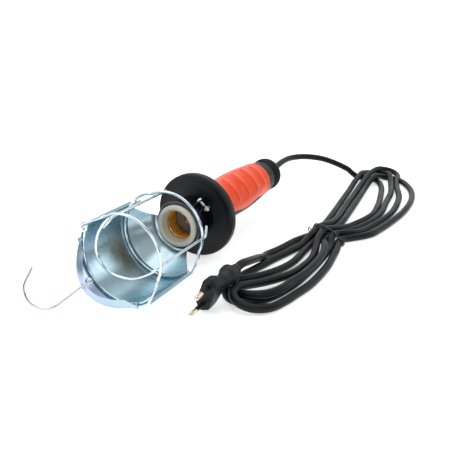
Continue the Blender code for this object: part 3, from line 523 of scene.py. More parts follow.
class Shape:
    """Collects the faces of one piece in the lamp's or the surface's frame, in millimetres."""

    def __init__(self, place: Matrix = LAMP_FRAME) -> None:
        """Start an empty shape.

        Args:
            place: The frame that its points are given in.
        """
        self.place = place
        self.points: list[Vector] = []
        self.faces: list[tuple[int, ...]] = []

    def grid(self, rows: Sequence[Sequence[Point]], around: bool = False, closed: bool = False,
             caps: bool = False) -> "Shape":
        """Join rows of points with quads.

        Args:
            rows: Rows of the same number of points, or None where there is no point.
            around: Whether each row joins its own end.
            closed: Whether the last row joins the first.
            caps: Whether the first and last rows are filled with one face each.

        Returns:
            This shape.
        """
        index = []
        for row in rows:
            line = []
            for point in row:
                line.append(None if point is None else len(self.points))
                if point is not None:
                    self.points.append(Vector(point))
            index.append(line)
        pairs = list(zip(index, index[1:])) + ([(index[-1], index[0])] if closed else [])
        for near, far in pairs:
            width = len(near)
            for k in range(width if around else width - 1):
                n = (k + 1) % width
                corners = (near[k], near[n], far[n], far[k])
                if None not in corners:
                    self.faces.append(corners)
        if caps:
            self.faces.append(tuple(index[0][::-1]))
            self.faces.append(tuple(index[-1]))
        return self

    def lathe(self, profile: Profile, base: Point = (0, 0, 0), along: Point = (1, 0, 0),
              segments: int = 96, closed: bool = True) -> "Shape":
        """Turn a profile about a line.

        Args:
            profile: (distance, radius) pairs along the line.
            base: Where the line starts.
            along: The line's direction.
            segments: The number of segments round the line.
            closed: Whether the last pair joins the first.

        Returns:
            This shape.
        """
        turn = Vector(along).to_track_quat("X", "Z").to_matrix()
        rows = []
        for x, r in profile:
            rows.append([Vector(base) + turn @ Vector((x, r * cos(a), r * sin(a)))
                         for a in (2 * pi * k / segments for k in range(segments))])
        return self.grid(rows, around=True, closed=closed)

    def piece(self, name: str, finish: Finish, sharp: float = 40.0, thick: float = 0.0) -> bpy.types.Object:
        """Turn the shape into an object at the origin.

        Args:
            name: The piece's name.
            finish: Its finish.
            sharp: Edges over this many degrees stay sharp.
            thick: The thickness in millimetres to give an open sheet, evenly to both sides.

        Returns:
            The new object.
        """
        mesh = bpy.data.meshes.new(name)
        mesh.from_pydata([self.place @ (p * MM) for p in self.points], [], self.faces)
        obj = bpy.data.objects.new(name, mesh)
        bpy.context.scene.collection.objects.link(obj)
        if thick:
            solid = obj.modifiers.new("sheet", "SOLIDIFY")
            solid.thickness = thick * MM
            solid.offset = 0.0
            solid.use_even_offset = True
        return finished(obj, finish, sharp)


def finished(obj: bpy.types.Object, finish: Finish, sharp: float = 40.0) -> bpy.types.Object:
    """Bake an object's modifiers into a clean mesh with outward faces and one material.

    Args:
        obj: The object, whose mesh is replaced.
        finish: Its finish.
        sharp: Edges over this many degrees stay sharp.

    Returns:
        The same object.
    """
    graph = bpy.context.evaluated_depsgraph_get()
    mesh = bpy.data.meshes.new_from_object(obj.evaluated_get(graph))
    obj.modifiers.clear()
    obj.data = mesh
    bm = bmesh.new()
    bm.from_mesh(mesh)
    bmesh.ops.remove_doubles(bm, verts=bm.verts, dist=1e-6)
    bmesh.ops.dissolve_degenerate(bm, edges=bm.edges, dist=1e-7)
    bmesh.ops.recalc_face_normals(bm, faces=bm.faces)
    bm.to_mesh(mesh)
    bm.free()
    mesh.materials.clear()
    mesh.materials.append(finish.material())
    mesh.name = obj.name
    mesh.shade_smooth()
    mesh.set_sharp_from_angle(angle=radians(sharp))
    return obj


def carve(obj: bpy.types.Object, cutter: bpy.types.Object, finish: Finish,
          sharp: float = 40.0) -> bpy.types.Object:
    """Cut one object's shape out of another, and drop the cutter.

    Args:
        obj: The piece to cut.
        cutter: The shape to take away.
        finish: The piece's finish.
        sharp: Edges over this many degrees stay sharp.

    Returns:
        The cut piece.
    """
    boolean = obj.modifiers.new("cut", "BOOLEAN")
    boolean.operation = "DIFFERENCE"
    boolean.solver = "EXACT"
    boolean.object = cutter
    finished(obj, finish, sharp)
    bpy.data.objects.remove(cutter, do_unlink=True)
    return obj


def smooth_route(knots: Sequence[Point], step: float) -> list[Vector]:
    """Space points evenly along a smooth curve through the knots.

    Args:
        knots: The points that the curve passes through.
        step: The spacing to aim for.

    Returns:
        The points, ends included.
    """
    ends = [Vector(k) for k in knots]
    ends = [2 * ends[0] - ends[1], *ends, 2 * ends[-1] - ends[-2]]
    fine = []
    for before, a, b, after in zip(ends, ends[1:], ends[2:], ends[3:]):
        for k in range(24):
            t = k / 24
            fine.append(0.5 * (2 * a + (b - before) * t + (2 * before - 5 * a + 4 * b - after) * t**2
                               + (3 * a - before - 3 * b + after) * t**3))
    fine.append(ends[-2])
    walked = np.concatenate([[0.0], np.cumsum([(b - a).length for a, b in zip(fine, fine[1:])])])
    count = max(2, round(float(walked[-1]) / step))
    wanted = np.linspace(0.0, walked[-1], count + 1)
    table = np.array(fine)
    return [Vector(p) for p in np.stack([np.interp(wanted, walked, table[:, k]) for k in range(3)], 1)]


def arc(x: float, centre: tuple[float, float], radius: float, start: float, end: float,
        step: float = 3.0) -> list[Vector]:
    """Points on a circle about the lamp's long axis at one x, from +y towards +z.

    Args:
        x: The place along the axis.
        centre: The circle's centre in y and z.
        radius: Its radius.
        start: The first angle in degrees.
        end: The last angle in degrees.
        step: The angle between points, about.

    Returns:
        The points.
    """
    count = max(1, round(abs(end - start) / step))
    angles = [radians(start + (end - start) * k / count) for k in range(count + 1)]
    return [Vector((x, centre[0] + radius * cos(a), centre[1] + radius * sin(a))) for a in angles]


def ramp(x: float, table: Profile) -> float:
    """Give the value at x of a line through (x, value) pairs."""
    return float(np.interp(x, [p[0] for p in table], [p[1] for p in table]))


class SweepTree:
    """A Geometry Nodes tree that sweeps a round section along a line of points."""

    def __init__(self) -> None:
        """Build the tree, with the line, radius, sides and finish as its inputs."""
        self.tree = bpy.data.node_groups.new("round_sweep", "GeometryNodeTree")
        face = self.tree.interface
        face.new_socket("Line", in_out="INPUT", socket_type="NodeSocketGeometry")
        self.radius = face.new_socket("Radius", in_out="INPUT", socket_type="NodeSocketFloat")
        self.sides = face.new_socket("Sides", in_out="INPUT", socket_type="NodeSocketInt")
        self.finish = face.new_socket("Finish", in_out="INPUT", socket_type="NodeSocketMaterial")
        face.new_socket("Piece", in_out="OUTPUT", socket_type="NodeSocketGeometry")
        board = Board(self.tree)
        given, out = board.add("NodeGroupInput"), board.add("NodeGroupOutput")
        line = board.add("GeometryNodeMeshToCurve", {"Mesh": given.outputs["Line"]})
        section = board.add("GeometryNodeCurvePrimitiveCircle", {
            "Resolution": given.outputs["Sides"], "Radius": given.outputs["Radius"]})
        swept = board.add("GeometryNodeCurveToMesh", {
            "Curve": line.outputs["Curve"], "Profile Curve": section.outputs["Curve"], "Fill Caps": True})
        real = board.add("GeometryNodeRealizeInstances", {"Geometry": swept.outputs["Mesh"]})
        dressed = board.add("GeometryNodeSetMaterial", {
            "Geometry": real.outputs["Geometry"], "Material": given.outputs["Finish"]})
        self.tree.links.new(dressed.outputs["Geometry"], out.inputs[0])

    def sweep(self, name: str, line: Sequence[Point], radius: float, finish: Finish,
              place: Matrix = LAMP_FRAME, sides: int = 20) -> bpy.types.Object:
        """Sweep one wire or cable.

        Args:
            name: The piece's name.
            line: The points it follows, in millimetres.
            radius: Its radius in millimetres.
            finish: Its finish.
            place: The frame that the points are given in.
            sides: The number of sides of its section.

        Returns:
            The new object.
        """
        mesh = bpy.data.meshes.new(name)
        points = [place @ (Vector(p) * MM) for p in line]
        mesh.from_pydata(points, [(k, k + 1) for k in range(len(points) - 1)], [])
        obj = bpy.data.objects.new(name, mesh)
        bpy.context.scene.collection.objects.link(obj)
        modifier = obj.modifiers.new("sweep", "NODES")
        modifier.node_group = self.tree
        modifier[self.radius.identifier] = radius * MM
        modifier[self.sides.identifier] = sides
        modifier[self.finish.identifier] = finish.material()
        return finished(obj, finish, 50.0)


class StudTree:
    """A Geometry Nodes tree that sets one small part at every point of a guide."""

    def __init__(self) -> None:
        """Build the tree, with the guide, the part and the finish as its inputs."""
        self.tree = bpy.data.node_groups.new("part_at_each_point", "GeometryNodeTree")
        face = self.tree.interface
        face.new_socket("Guide", in_out="INPUT", socket_type="NodeSocketGeometry")
        self.part = face.new_socket("Part", in_out="INPUT", socket_type="NodeSocketObject")
        self.finish = face.new_socket("Finish", in_out="INPUT", socket_type="NodeSocketMaterial")
        face.new_socket("Pieces", in_out="OUTPUT", socket_type="NodeSocketGeometry")
        board = Board(self.tree)
        given, out = board.add("NodeGroupInput"), board.add("NodeGroupOutput")
        part = board.add("GeometryNodeObjectInfo", {"Object": given.outputs["Part"]})
        turn = board.add("GeometryNodeInputNamedAttribute", data_type="FLOAT_VECTOR")
        turn.inputs["Name"].default_value = "turn"
        spots = board.add("GeometryNodeInstanceOnPoints", {
            "Points": given.outputs["Guide"], "Instance": part.outputs["Geometry"],
            "Rotation": turn.outputs["Attribute"]})
        real = board.add("GeometryNodeRealizeInstances", {"Geometry": spots.outputs["Instances"]})
        dressed = board.add("GeometryNodeSetMaterial", {
            "Geometry": real.outputs["Geometry"], "Material": given.outputs["Finish"]})
        self.tree.links.new(dressed.outputs["Geometry"], out.inputs[0])

    def repeat(self, name: str, part: bpy.types.Object, places: Sequence[Matrix],
               finish: Finish) -> bpy.types.Object:
        """Set the part at each place, and drop the pattern part.

        Args:
            name: The piece's name.
            part: The pattern, modelled about the origin in metres.
            places: Where each one goes, as rigid matrices in the row's frame.
            finish: The finish of all of them.

        Returns:
            The new object.
        """
        mesh = bpy.data.meshes.new(name)
        mesh.from_pydata([m.to_translation() for m in places], [], [])
        turn = mesh.attributes.new("turn", "FLOAT_VECTOR", "POINT")
        for spot, m in zip(turn.data, places):
            spot.vector = m.to_euler()
        obj = bpy.data.objects.new(name, mesh)
        bpy.context.scene.collection.objects.link(obj)
        modifier = obj.modifiers.new("repeat", "NODES")
        modifier.node_group = self.tree
        modifier[self.part.identifier] = part
        modifier[self.finish.identifier] = finish.material()
        finished(obj, finish)
        bpy.data.objects.remove(part, do_unlink=True)
        return obj


SWEEP = SweepTree()
STUDS = StudTree()


def settle(piece: bpy.types.Object, body: Body, slot: str, *nodes: str) -> bpy.types.Object:
    """Tie a finished piece to its body and the nodes it stands for, and report it.

    Args:
        piece: The finished piece.
        body: The body that it rides on.
        slot: The record's material slot. Not used.
        *nodes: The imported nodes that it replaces.

    Returns:
        The same piece.
    """
    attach(piece, body.value)
    if nodes:
        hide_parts(*nodes)
    LOG.info("%s: %d faces on %s", piece.name, len(piece.data.polygons), body.value)
    return piece


# ---------------------------------------------------------------- the mains lead


@dataclass
class MainsLead:
    """The round cable from the end cap to the plug, folded in a hank and tied once."""

    radius: float = 3.8
    spacing: float = 3.9
    exit_x: float = 176.3
    axis_z: float = 42.35
    floor_z: float = 3.85
    tie_middle: tuple[float, float] = (99.0, -104.0)
    tie_slant: float = 0.45
    plug_face: Point = (-99.2, -69.0, 17.05)
    plug_pins: Point = (-0.994, 0.054, -0.093)
    plug_length: float = 50.8
    settle_steps: int = 320
    least_bend: float = 24.0
    lean: tuple[float, float] = (-2.31, -1.24)  # x and y of the main camera's sight line, for each mm up
    line: list[Vector] = field(default_factory=list)

    def strand(self, lifts: Sequence[float], *spots: tuple[float, float]) -> list[Point]:
        """Place a stretch of cable, moving each lifted point along the main camera's line of sight.

        Args:
            lifts: Heights of the centre, spread evenly along the stretch.
            *spots: The places on the surface that it covers in the main view.

        Returns:
            The stretch's knots.
        """
        found = []
        for k, (x, y) in enumerate(spots):
            z = float(np.interp(k / max(1, len(spots) - 1), np.linspace(0, 1, len(lifts)), lifts))
            found.append((x + self.lean[0] * (z - 3.4), y + self.lean[1] * (z - 3.4), z))
        return found

    def at_tie(self, y: float, z: float) -> list[Point]:
        """Give the knots where a strand passes through the tie, at one place across it."""
        x = self.tie_middle[0] + self.tie_slant * (y - self.tie_middle[1])
        return [(x + 7.0, y - 0.3, z), (x - 7.0, y + 0.3, z)]

    def knots(self) -> tuple[list[Point], list[int]]:
        """List the whole route's knots, and which of them are held by the tie.

        Returns:
            The knots in the surface frame, and the indexes of the tie's.
        """
        low, high = 3.85, 10.6
        tie = {"A": (-89.0, low), "C": (-97.2, low), "F": (-105.6, low), "C2": (-113.8, low),
               "B": (-93.0, high), "E": (-101.4, high), "D": (-109.6, high)}
        route: list[Point] = [
            (self.exit_x, 0, self.axis_z), (self.exit_x + 9, 0, 42.5), (204, 1.5, 43.2), (230, 3, 43.8),
            (254, 1, 43.0), (276, -9.5, 40.8), (295.5, -26, 35.8), (309, -42, 28.0), (320, -54, 19.8),
            (329.5, -62, 12.5), (337, -70, 7.2)]
        held: list[int] = []

        def add(points: Iterable[Point]) -> None:
            """Carry the route on through more points."""
            route.extend(points)

        def through(name: str, leftwards: bool) -> None:
            """Carry the route on through the tie, at the named place in it."""
            knots = self.at_tie(*tie[name])
            for point in knots if leftwards else knots[::-1]:
                held.append(len(route))
                route.append(point)

        add(self.strand((low,), (342.5, -81), (335.5, -96), (310, -109), (274, -118), (227, -127),
                        (190, -129.5), (146, -117)))
        through("E", True)
        add(self.strand((high, 11, 11, 9.8, 9.8), (62, -103), (30, -101.5), (5, -96), (-20, -86.5),
                        (-40, -77.5)))
        add(self.strand((9.8, 6, 3.4), (-58, -73), (-71, -83), (-76, -98), (-69, -112), (-55, -119.5)))
        add(self.strand((low,), (-39, -122), (-10, -126), (28, -124.5), (62, -118.4)))
        through("C2", False)
        add(self.strand((low,), (128, -136), (148, -144), (185, -152), (224, -156.4), (268, -155),
                        (307, -146), (338, -130), (355, -114)))
        add(self.strand((5, 8.0, 6, low), (356, -98), (340, -89), (306, -86.5), (223, -95.5), (144, -103)))
        through("C", True)
        add(self.strand((5, 9.8, 9.8), (62, -94.5), (32, -92), (5, -83), (-20, -73.0), (-34, -66)))
        add(self.strand((8, 5, low, low), (-50, -65), (-63, -75), (-66, -89), (-59, -102), (-43, -110.5)))
        add(self.strand((low,), (-20, -116), (5, -117.5), (33, -117), (70, -113)))
        through("D", False)
        add(self.strand((9.8, 6.0, 3.4, 3.4), (135, -119), (161, -131), (212, -143), (270, -141), (315, -130),
                        (352, -122)))
        add(self.strand((4, 8, 11.5, 9.8), (378, -113), (388, -99), (382, -84.5), (360, -76),
                        (309, -74.5), (236, -81), (150, -92)))
        through("B", True)
        add(self.strand((6, low), (72, -84.5), (48, -78), (19, -69), (-9, -63.7)))
        add(self.strand((low, low, 8, 10), (-30, -60), (-47, -62), (-57, -71.5), (-57, -84)))
        add(self.strand((10, 11, 11, 10), (-48, -94.5), (-32, -101), (-12, -104.5), (10, -109),
                        (48, -112), (76, -109)))
        through("F", False)
        add(self.strand((low,), (135, -121), (170, -130), (205, -131), (243, -128), (290, -124)))
        add(self.strand((low, 6, 9.8, 6), (335, -113), (360, -103), (374, -88), (370, -72),
                        (352, -64.5), (326, -63.5), (300, -66), (250, -73), (145, -86)))
        through("A", True)
        add([(74, -79, 3.6), (50, -73.5, 4.2), (26, -67.5, 5.6), (14, -68.2, 7.0), (-2, -70.2, 12.6),
             (-24, -72.2, 19.0)])
        face, back = Vector(self.plug_face), -Vector(self.plug_pins).normalized()
        add([tuple(face + back * (self.plug_length + 8.5)), tuple(face + back * self.plug_length)])
        return route, held

    def settled(self) -> np.ndarray:
        """Let the strands push each other apart until they lie a diameter apart on the surface.

        Returns:
            The centreline, as rows of x, y and z in the surface frame.
        """
        knots, held = self.knots()
        start = np.array(smooth_route(knots, self.spacing))
        line, count = start.copy(), len(start)
        share = np.zeros(count)
        for k in held:
            near = np.argmin(np.abs(start - np.array(knots[k])).sum(1))
            share[max(0, near - 1):near + 2] = 0.6
        share[:46] = 1.0
        share[-int(70 / self.spacing):] = 1.0
        ends = share[:, None]
        gap = 2 * self.radius + 0.12
        apart = int(4.5 * self.radius / self.spacing) + 1
        steps = self.settle_steps
        face, back = np.array(self.plug_face), -np.array(self.plug_pins) / np.linalg.norm(self.plug_pins)
        behind = np.arange(0, 51, 3.0)
        body = np.stack([face + back * t for t in behind])
        thick = np.interp(behind, [0, 15, 22, 30, 34, 40, 42, 51],
                          [10.5, 10, 7, 6.5, 9.6, 9.6, 6.5, 5.0]) + self.radius
        pairs = (np.zeros(0, int), np.zeros(0, int))
        span = 2
        allowed = (span * self.spacing) ** 2 / self.least_bend
        for step in range(steps):
            if step % 8 == 0:
                flat = ((line[:, None, :] - line[None, :, :]) ** 2).sum(2)
                i, j = np.where(np.triu(flat < (gap * 1.7) ** 2, apart))
                pairs = (i, j)
            i, j = pairs
            away = line[i] - line[j]
            space = np.linalg.norm(away, axis=1)
            short = np.clip(gap - space, 0, None)
            push = away / np.maximum(space, 1e-6)[:, None] * (short * 0.5)[:, None]
            move, seen = np.zeros_like(line), np.zeros(count)
            np.add.at(move, i, push)
            np.add.at(move, j, -push)
            np.add.at(seen, i, short > 0)
            np.add.at(seen, j, short > 0)
            move /= np.maximum(seen, 1)[:, None]
            from_plug = line[:, None, :] - body[None, :, :]
            reach = np.linalg.norm(from_plug, axis=2)
            inside = np.clip(thick[None, :] - reach, 0, None)
            worst = inside.argmax(1)
            rows = np.arange(count)
            move += from_plug[rows, worst] / np.maximum(reach[rows, worst], 1e-6)[:, None] \
                * inside[rows, worst][:, None] * 0.5
            move[:, 2] -= 0.03
            bend = line[:-2 * span] + line[2 * span:] - 2 * line[span:-span]
            size = np.linalg.norm(bend, axis=1)
            pull = bend / np.maximum(size, 1e-6)[:, None] * np.clip(size - allowed, 0, None)[:, None] * 0.2
            move[span:-span] += pull
            move[:-2 * span] -= pull / 2
            move[2 * span:] -= pull / 2
            line += move * (1 - ends)
            shift = line - start
            eased = shift.copy()
            for _ in range(3):
                eased[1:-1] = (eased[:-2] + 2 * eased[1:-1] + eased[2:]) / 4
            line = start + (shift + (eased - shift) * 0.8) * (1 - ends) + ends * shift
            line[:, 2] = np.maximum(line[:, 2], self.floor_z)
        return line

    def build(self, wires: SweepTree) -> bpy.types.Object:
        """Sweep the cable along its settled line.

        Args:
            wires: The tree that sweeps it.

        Returns:
            The cable.
        """
        self.line = [Vector(p) for p in self.settled()]
        return wires.sweep("mains_lead", self.line, self.radius, SHEATH, SURFACE_FRAME, sides=22)


@dataclass
class HankTie:
    """The plastic-covered wire tie round the hank, twisted together on the near side."""

    radius: float = 0.85
    far: Point = (107.0, -83.0, 6.0)
    near: Point = (91.5, -120.5, 5.5)
    low: float = 0.9
    ring: float = 2.6

    def loop(self, lead: MainsLead) -> list[Vector]:
        """Lay the tie round whatever strands pass between its two sides.

        Args:
            lead: The settled mains lead.

        Returns:
            The tie's centreline.
        """
        far, near = Vector(self.far), Vector(self.near)
        across = (near - far).normalized()
        middle = (far + near) / 2
        along = Vector((0, 0, 1)).cross(across).normalized()
        section = []
        for a, b in zip(lead.line, lead.line[1:]):
            da, db = (a - middle).dot(along), (b - middle).dot(along)
            if da * db <= 0 and da != db:
                p = a.lerp(b, da / (da - db))
                if abs((p - middle).dot(across)) < 26:
                    section.append(((p - middle).dot(across), p.z))
        reach = lead.radius + self.radius + 0.15
        hull = []
        for k in range(40):
            a = 2 * pi * k / 40
            ray = (cos(a), sin(a))
            best = max(section, key=lambda s: s[0] * ray[0] + s[1] * ray[1])
            hull.append((best[0] + reach * ray[0], max(self.low, best[1] + reach * ray[1])))
        self.section = hull
        self.frame = (middle, across, along)
        line = [middle + across * u + Vector((0, 0, v - middle.z)) for u, v in hull]
        return smooth_route([tuple(p) for p in line + line[:2]], 1.0)

    def build(self, wires: SweepTree, lead: MainsLead) -> bpy.types.Object:
        """Sweep the tie, its small far ring and its twisted clasp as one piece.

        Args:
            wires: The tree that sweeps it.
            lead: The settled mains lead.

        Returns:
            The tie.
        """
        loop = self.loop(lead)
        middle, across, along = self.frame
        near = max(loop, key=lambda p: (p - middle).dot(across))
        far = min(loop, key=lambda p: (p - middle).dot(across)).copy()
        far.z = max(far.z, self.ring + 2.2)
        parts = [wires.sweep("hank_tie", loop, self.radius, TIE_PLASTIC, SURFACE_FRAME, sides=10)]
        upright = Vector((0, 0.2, 1))
        ring = [far - across * (self.ring + 0.3) + self.ring * (cos(a) * across + sin(a) * upright)
                + along * 1.2 * sin(a / 2) for a in np.linspace(-0.4, 2 * pi - 0.6, 26)]
        parts.append(wires.sweep("tie_ring", ring, self.radius * 0.75, TIE_PLASTIC, SURFACE_FRAME, sides=8))
        for turn in (0.0, pi):
            twist = [near + across * 1.5 + Vector((0, 0, t - 1.0))
                     + along * (1.0 * cos(turn + t * 0.95) + 0.25 * t)
                     + across * (1.0 * sin(turn + t * 0.95)) for t in np.linspace(-1.0, 6.0, 34)]
            parts.append(wires.sweep(f"tie_twist_{turn:.0f}", twist, self.radius * 0.8, TIE_PLASTIC,
                                     SURFACE_FRAME, sides=8))
        return joined(parts, TIE_PLASTIC)


def joined(parts: Sequence[bpy.types.Object], finish: Finish) -> bpy.types.Object:
    """Join several objects' meshes into the first of them.

    Args:
        parts: The objects. All but the first are dropped.
        finish: The finish of the whole.

    Returns:
        The first object, holding all of the meshes.
    """
    bm = bmesh.new()
    for part in parts:
        bm.from_mesh(part.data)
    first = parts[0]
    bm.to_mesh(first.data)
    bm.free()
    for part in parts[1:]:
        bpy.data.objects.remove(part, do_unlink=True)
    first.data.materials.clear()
    first.data.materials.append(finish.material())
    return first


@dataclass
class TwoPinPlug:
    """The flat moulded plug: hexagonal body, collared relief, and two sleeved pins."""

    face: Point = (-99.2, -69.0, 17.05)
    pins: Point = (-0.994, 0.054, -0.093)
    across: Point = (0.107, 0.371, -0.922)
    width: float = 35.3
    thick: float = 13.7
    neck: float = 26.0
    length: float = 50.5
    pin_radius: float = 2.0
    pin_length: float = 19.0
    pin_spacing: float = 18.6
    sleeve: float = 9.5

    def place(self) -> Matrix:
        """Give the plug's frame: x out along the pins, y across them, from the face's middle."""
        x = Vector(self.pins).normalized()
        y = Vector(self.across)
        y = (y - x * y.dot(x)).normalized()
        z = x.cross(y)
        turn = Matrix((x, y, z)).transposed().to_4x4()
        return SURFACE_FRAME @ Matrix.Translation(Vector(self.face) * MM) @ turn

    def outline(self, back: float) -> list[tuple[float, float]]:
        """Give the body's section at one distance behind the face.

        Args:
            back: The distance behind the face.

        Returns:
            Its outline, as pairs across and through the plug.
        """
        table = ((0.0, 0.955, 0.0), (0.5, 0.985, 0.0), (1.3, 1.0, 0.0), (9.0, 0.965, 0.0), (12.0, 0.90, 0.03),
                 (15.0, 0.8, 0.12), (20.0, 0.6, 0.45), (self.neck, 0.45, 1.0))
        wide = float(np.interp(back, [t[0] for t in table], [t[1] for t in table]))
        share = float(np.interp(back, [t[0] for t in table], [t[2] for t in table]))
        w, t = self.width / 2, self.thick / 2
        thin = min(1.0, 0.93 + 0.07 * back / 1.3)
        corners = [(w, 0), (12.0, t), (-12.0, t), (-w, 0), (-12.0, -t), (12.0, -t)]
        loop = []
        nexts, lasts = corners[1:] + corners[:1], corners[-1:] + corners[:-1]
        for k, (here, after, before) in enumerate(zip(corners, nexts, lasts)):
            ease = 2.2 if k in (0, 3) else 1.6
            a = Vector(here) + (Vector(before) - Vector(here)).normalized() * ease
            b = Vector(here) + (Vector(after) - Vector(here)).normalized() * ease
            loop += [(1 - s) ** 2 * a + 2 * s * (1 - s) * Vector(here) + s * s * b
                     for s in (0, 0.25, 0.5, 0.75, 1)]
            nxt = Vector(after) + (Vector(here) - Vector(after)).normalized() * 2.0
            loop += [b.lerp(nxt, s) for s in (0.25, 0.5, 0.75)]
        found = []
        for p in loop:
            size = max(p.length, 1e-6)
            round_at = p / size * 6.6
            found.append((p.x * wide * (1 - share) + round_at.x * share,
                          p.y * thin * (1 - 0.1 * share) * (1 - share) + round_at.y * share))
        return found

    def body(self) -> bpy.types.Object:
        """Build the body with its two pin holes."""
        place = self.place()
        stations = [0, 0.3, 0.7, 1.3, 3, 6, 9, 10.5, 12, 13.5, 15, 17, 18.5, 20, 22, 24, self.neck]
        rows = [[(-b, y, z) for y, z in self.outline(b)] for b in stations]
        made = Shape(place).grid(rows, around=True, caps=True).piece("plug_moulding", BLACK_MOULDING, 32)
        cutter = Shape(place)
        for side in (1, -1):
            cutter.lathe(rod(-11, 1, 2.2), (0, side * self.pin_spacing / 2, 0),
                         segments=32)
        return carve(made, cutter.piece("pin_holes", BLACK_MOULDING), BLACK_MOULDING, 32)

    def relief(self) -> bpy.types.Object:
        """Build the collared relief behind the body, with rings that let it flex."""
        start = -self.neck - 0.3
        profile = [(start, AXIS_CORE), (start, 6.5), (start - 2.0, 6.6), (start - 4.0, 6.8),
                   (start - 6.2, 7.6), (start - 8.0, 9.0), (start - 13.0, 9.4), (start - 14.0, 8.2),
                   (start - 14.5, 5.4)]
        for k in range(2):
            x, r = start - 16.6 - 3.1 * k, 5.3 - 0.2 * k
            profile += [(x + 0.9, r), (x + 0.5, r - 0.45), (x - 0.5, r - 0.45), (x - 0.9, r - 0.05)]
        profile += [(-self.length + 0.5, 4.7), (-self.length, 4.4), (-self.length, AXIS_CORE)]
        turned = Shape(self.place()).lathe(rounded(profile, 0.35), segments=48)
        return turned.piece("plug_flex_relief", COLLAR_MOULDING)

    def pin(self, side: int) -> tuple[bpy.types.Object, bpy.types.Object]:
        """Build one pin and its insulating sleeve.

        Args:
            side: 1 or −1, across the plug.

        Returns:
            The pin and the sleeve.
        """
        base = (0, side * self.pin_spacing / 2, 0)
        r, end = self.pin_radius, self.pin_length
        metal = [(-10.7, AXIS_CORE), (-10.7, 1.2), (self.sleeve + 0.3, 1.2), (self.sleeve + 0.3, r),
                 (end - 1.6, r), (end - 0.7, r * 0.86), (end - 0.15, r * 0.5), (end, AXIS_CORE)]
        cover = [(-10.5, 1.4), (-10.5, r - 0.05), (self.sleeve, r - 0.05), (self.sleeve, 1.4)]
        number = 1 if side > 0 else 2
        pin = Shape(self.place()).lathe(rounded(metal, 0.25), base, segments=32).piece(
            f"pin_{number}", PIN_METAL)
        sleeve = Shape(self.place()).lathe(rounded(cover, 0.15), base, segments=32).piece(
            f"pin_sleeve_{number}", BLACK_MOULDING)
        return pin, sleeve

    def build(self) -> list[bpy.types.Object]:
        """Build and settle every piece of the plug."""
        made = [settle(self.body(), Body.LAMP, "black_plastic", "plug_body"),
                settle(self.relief(), Body.LAMP, "gloss_black", "plug_relief")]
        for number, side in ((1, 1), (2, -1)):
            pin, sleeve = self.pin(side)
            made.append(settle(pin, Body.LAMP, "brass", f"plug_pin_{number}"))
            made.append(settle(sleeve, Body.LAMP, "black_plastic", f"plug_pin_sleeve_{number}"))
        return made


# ---------------------------------------------------------------- handle and cap


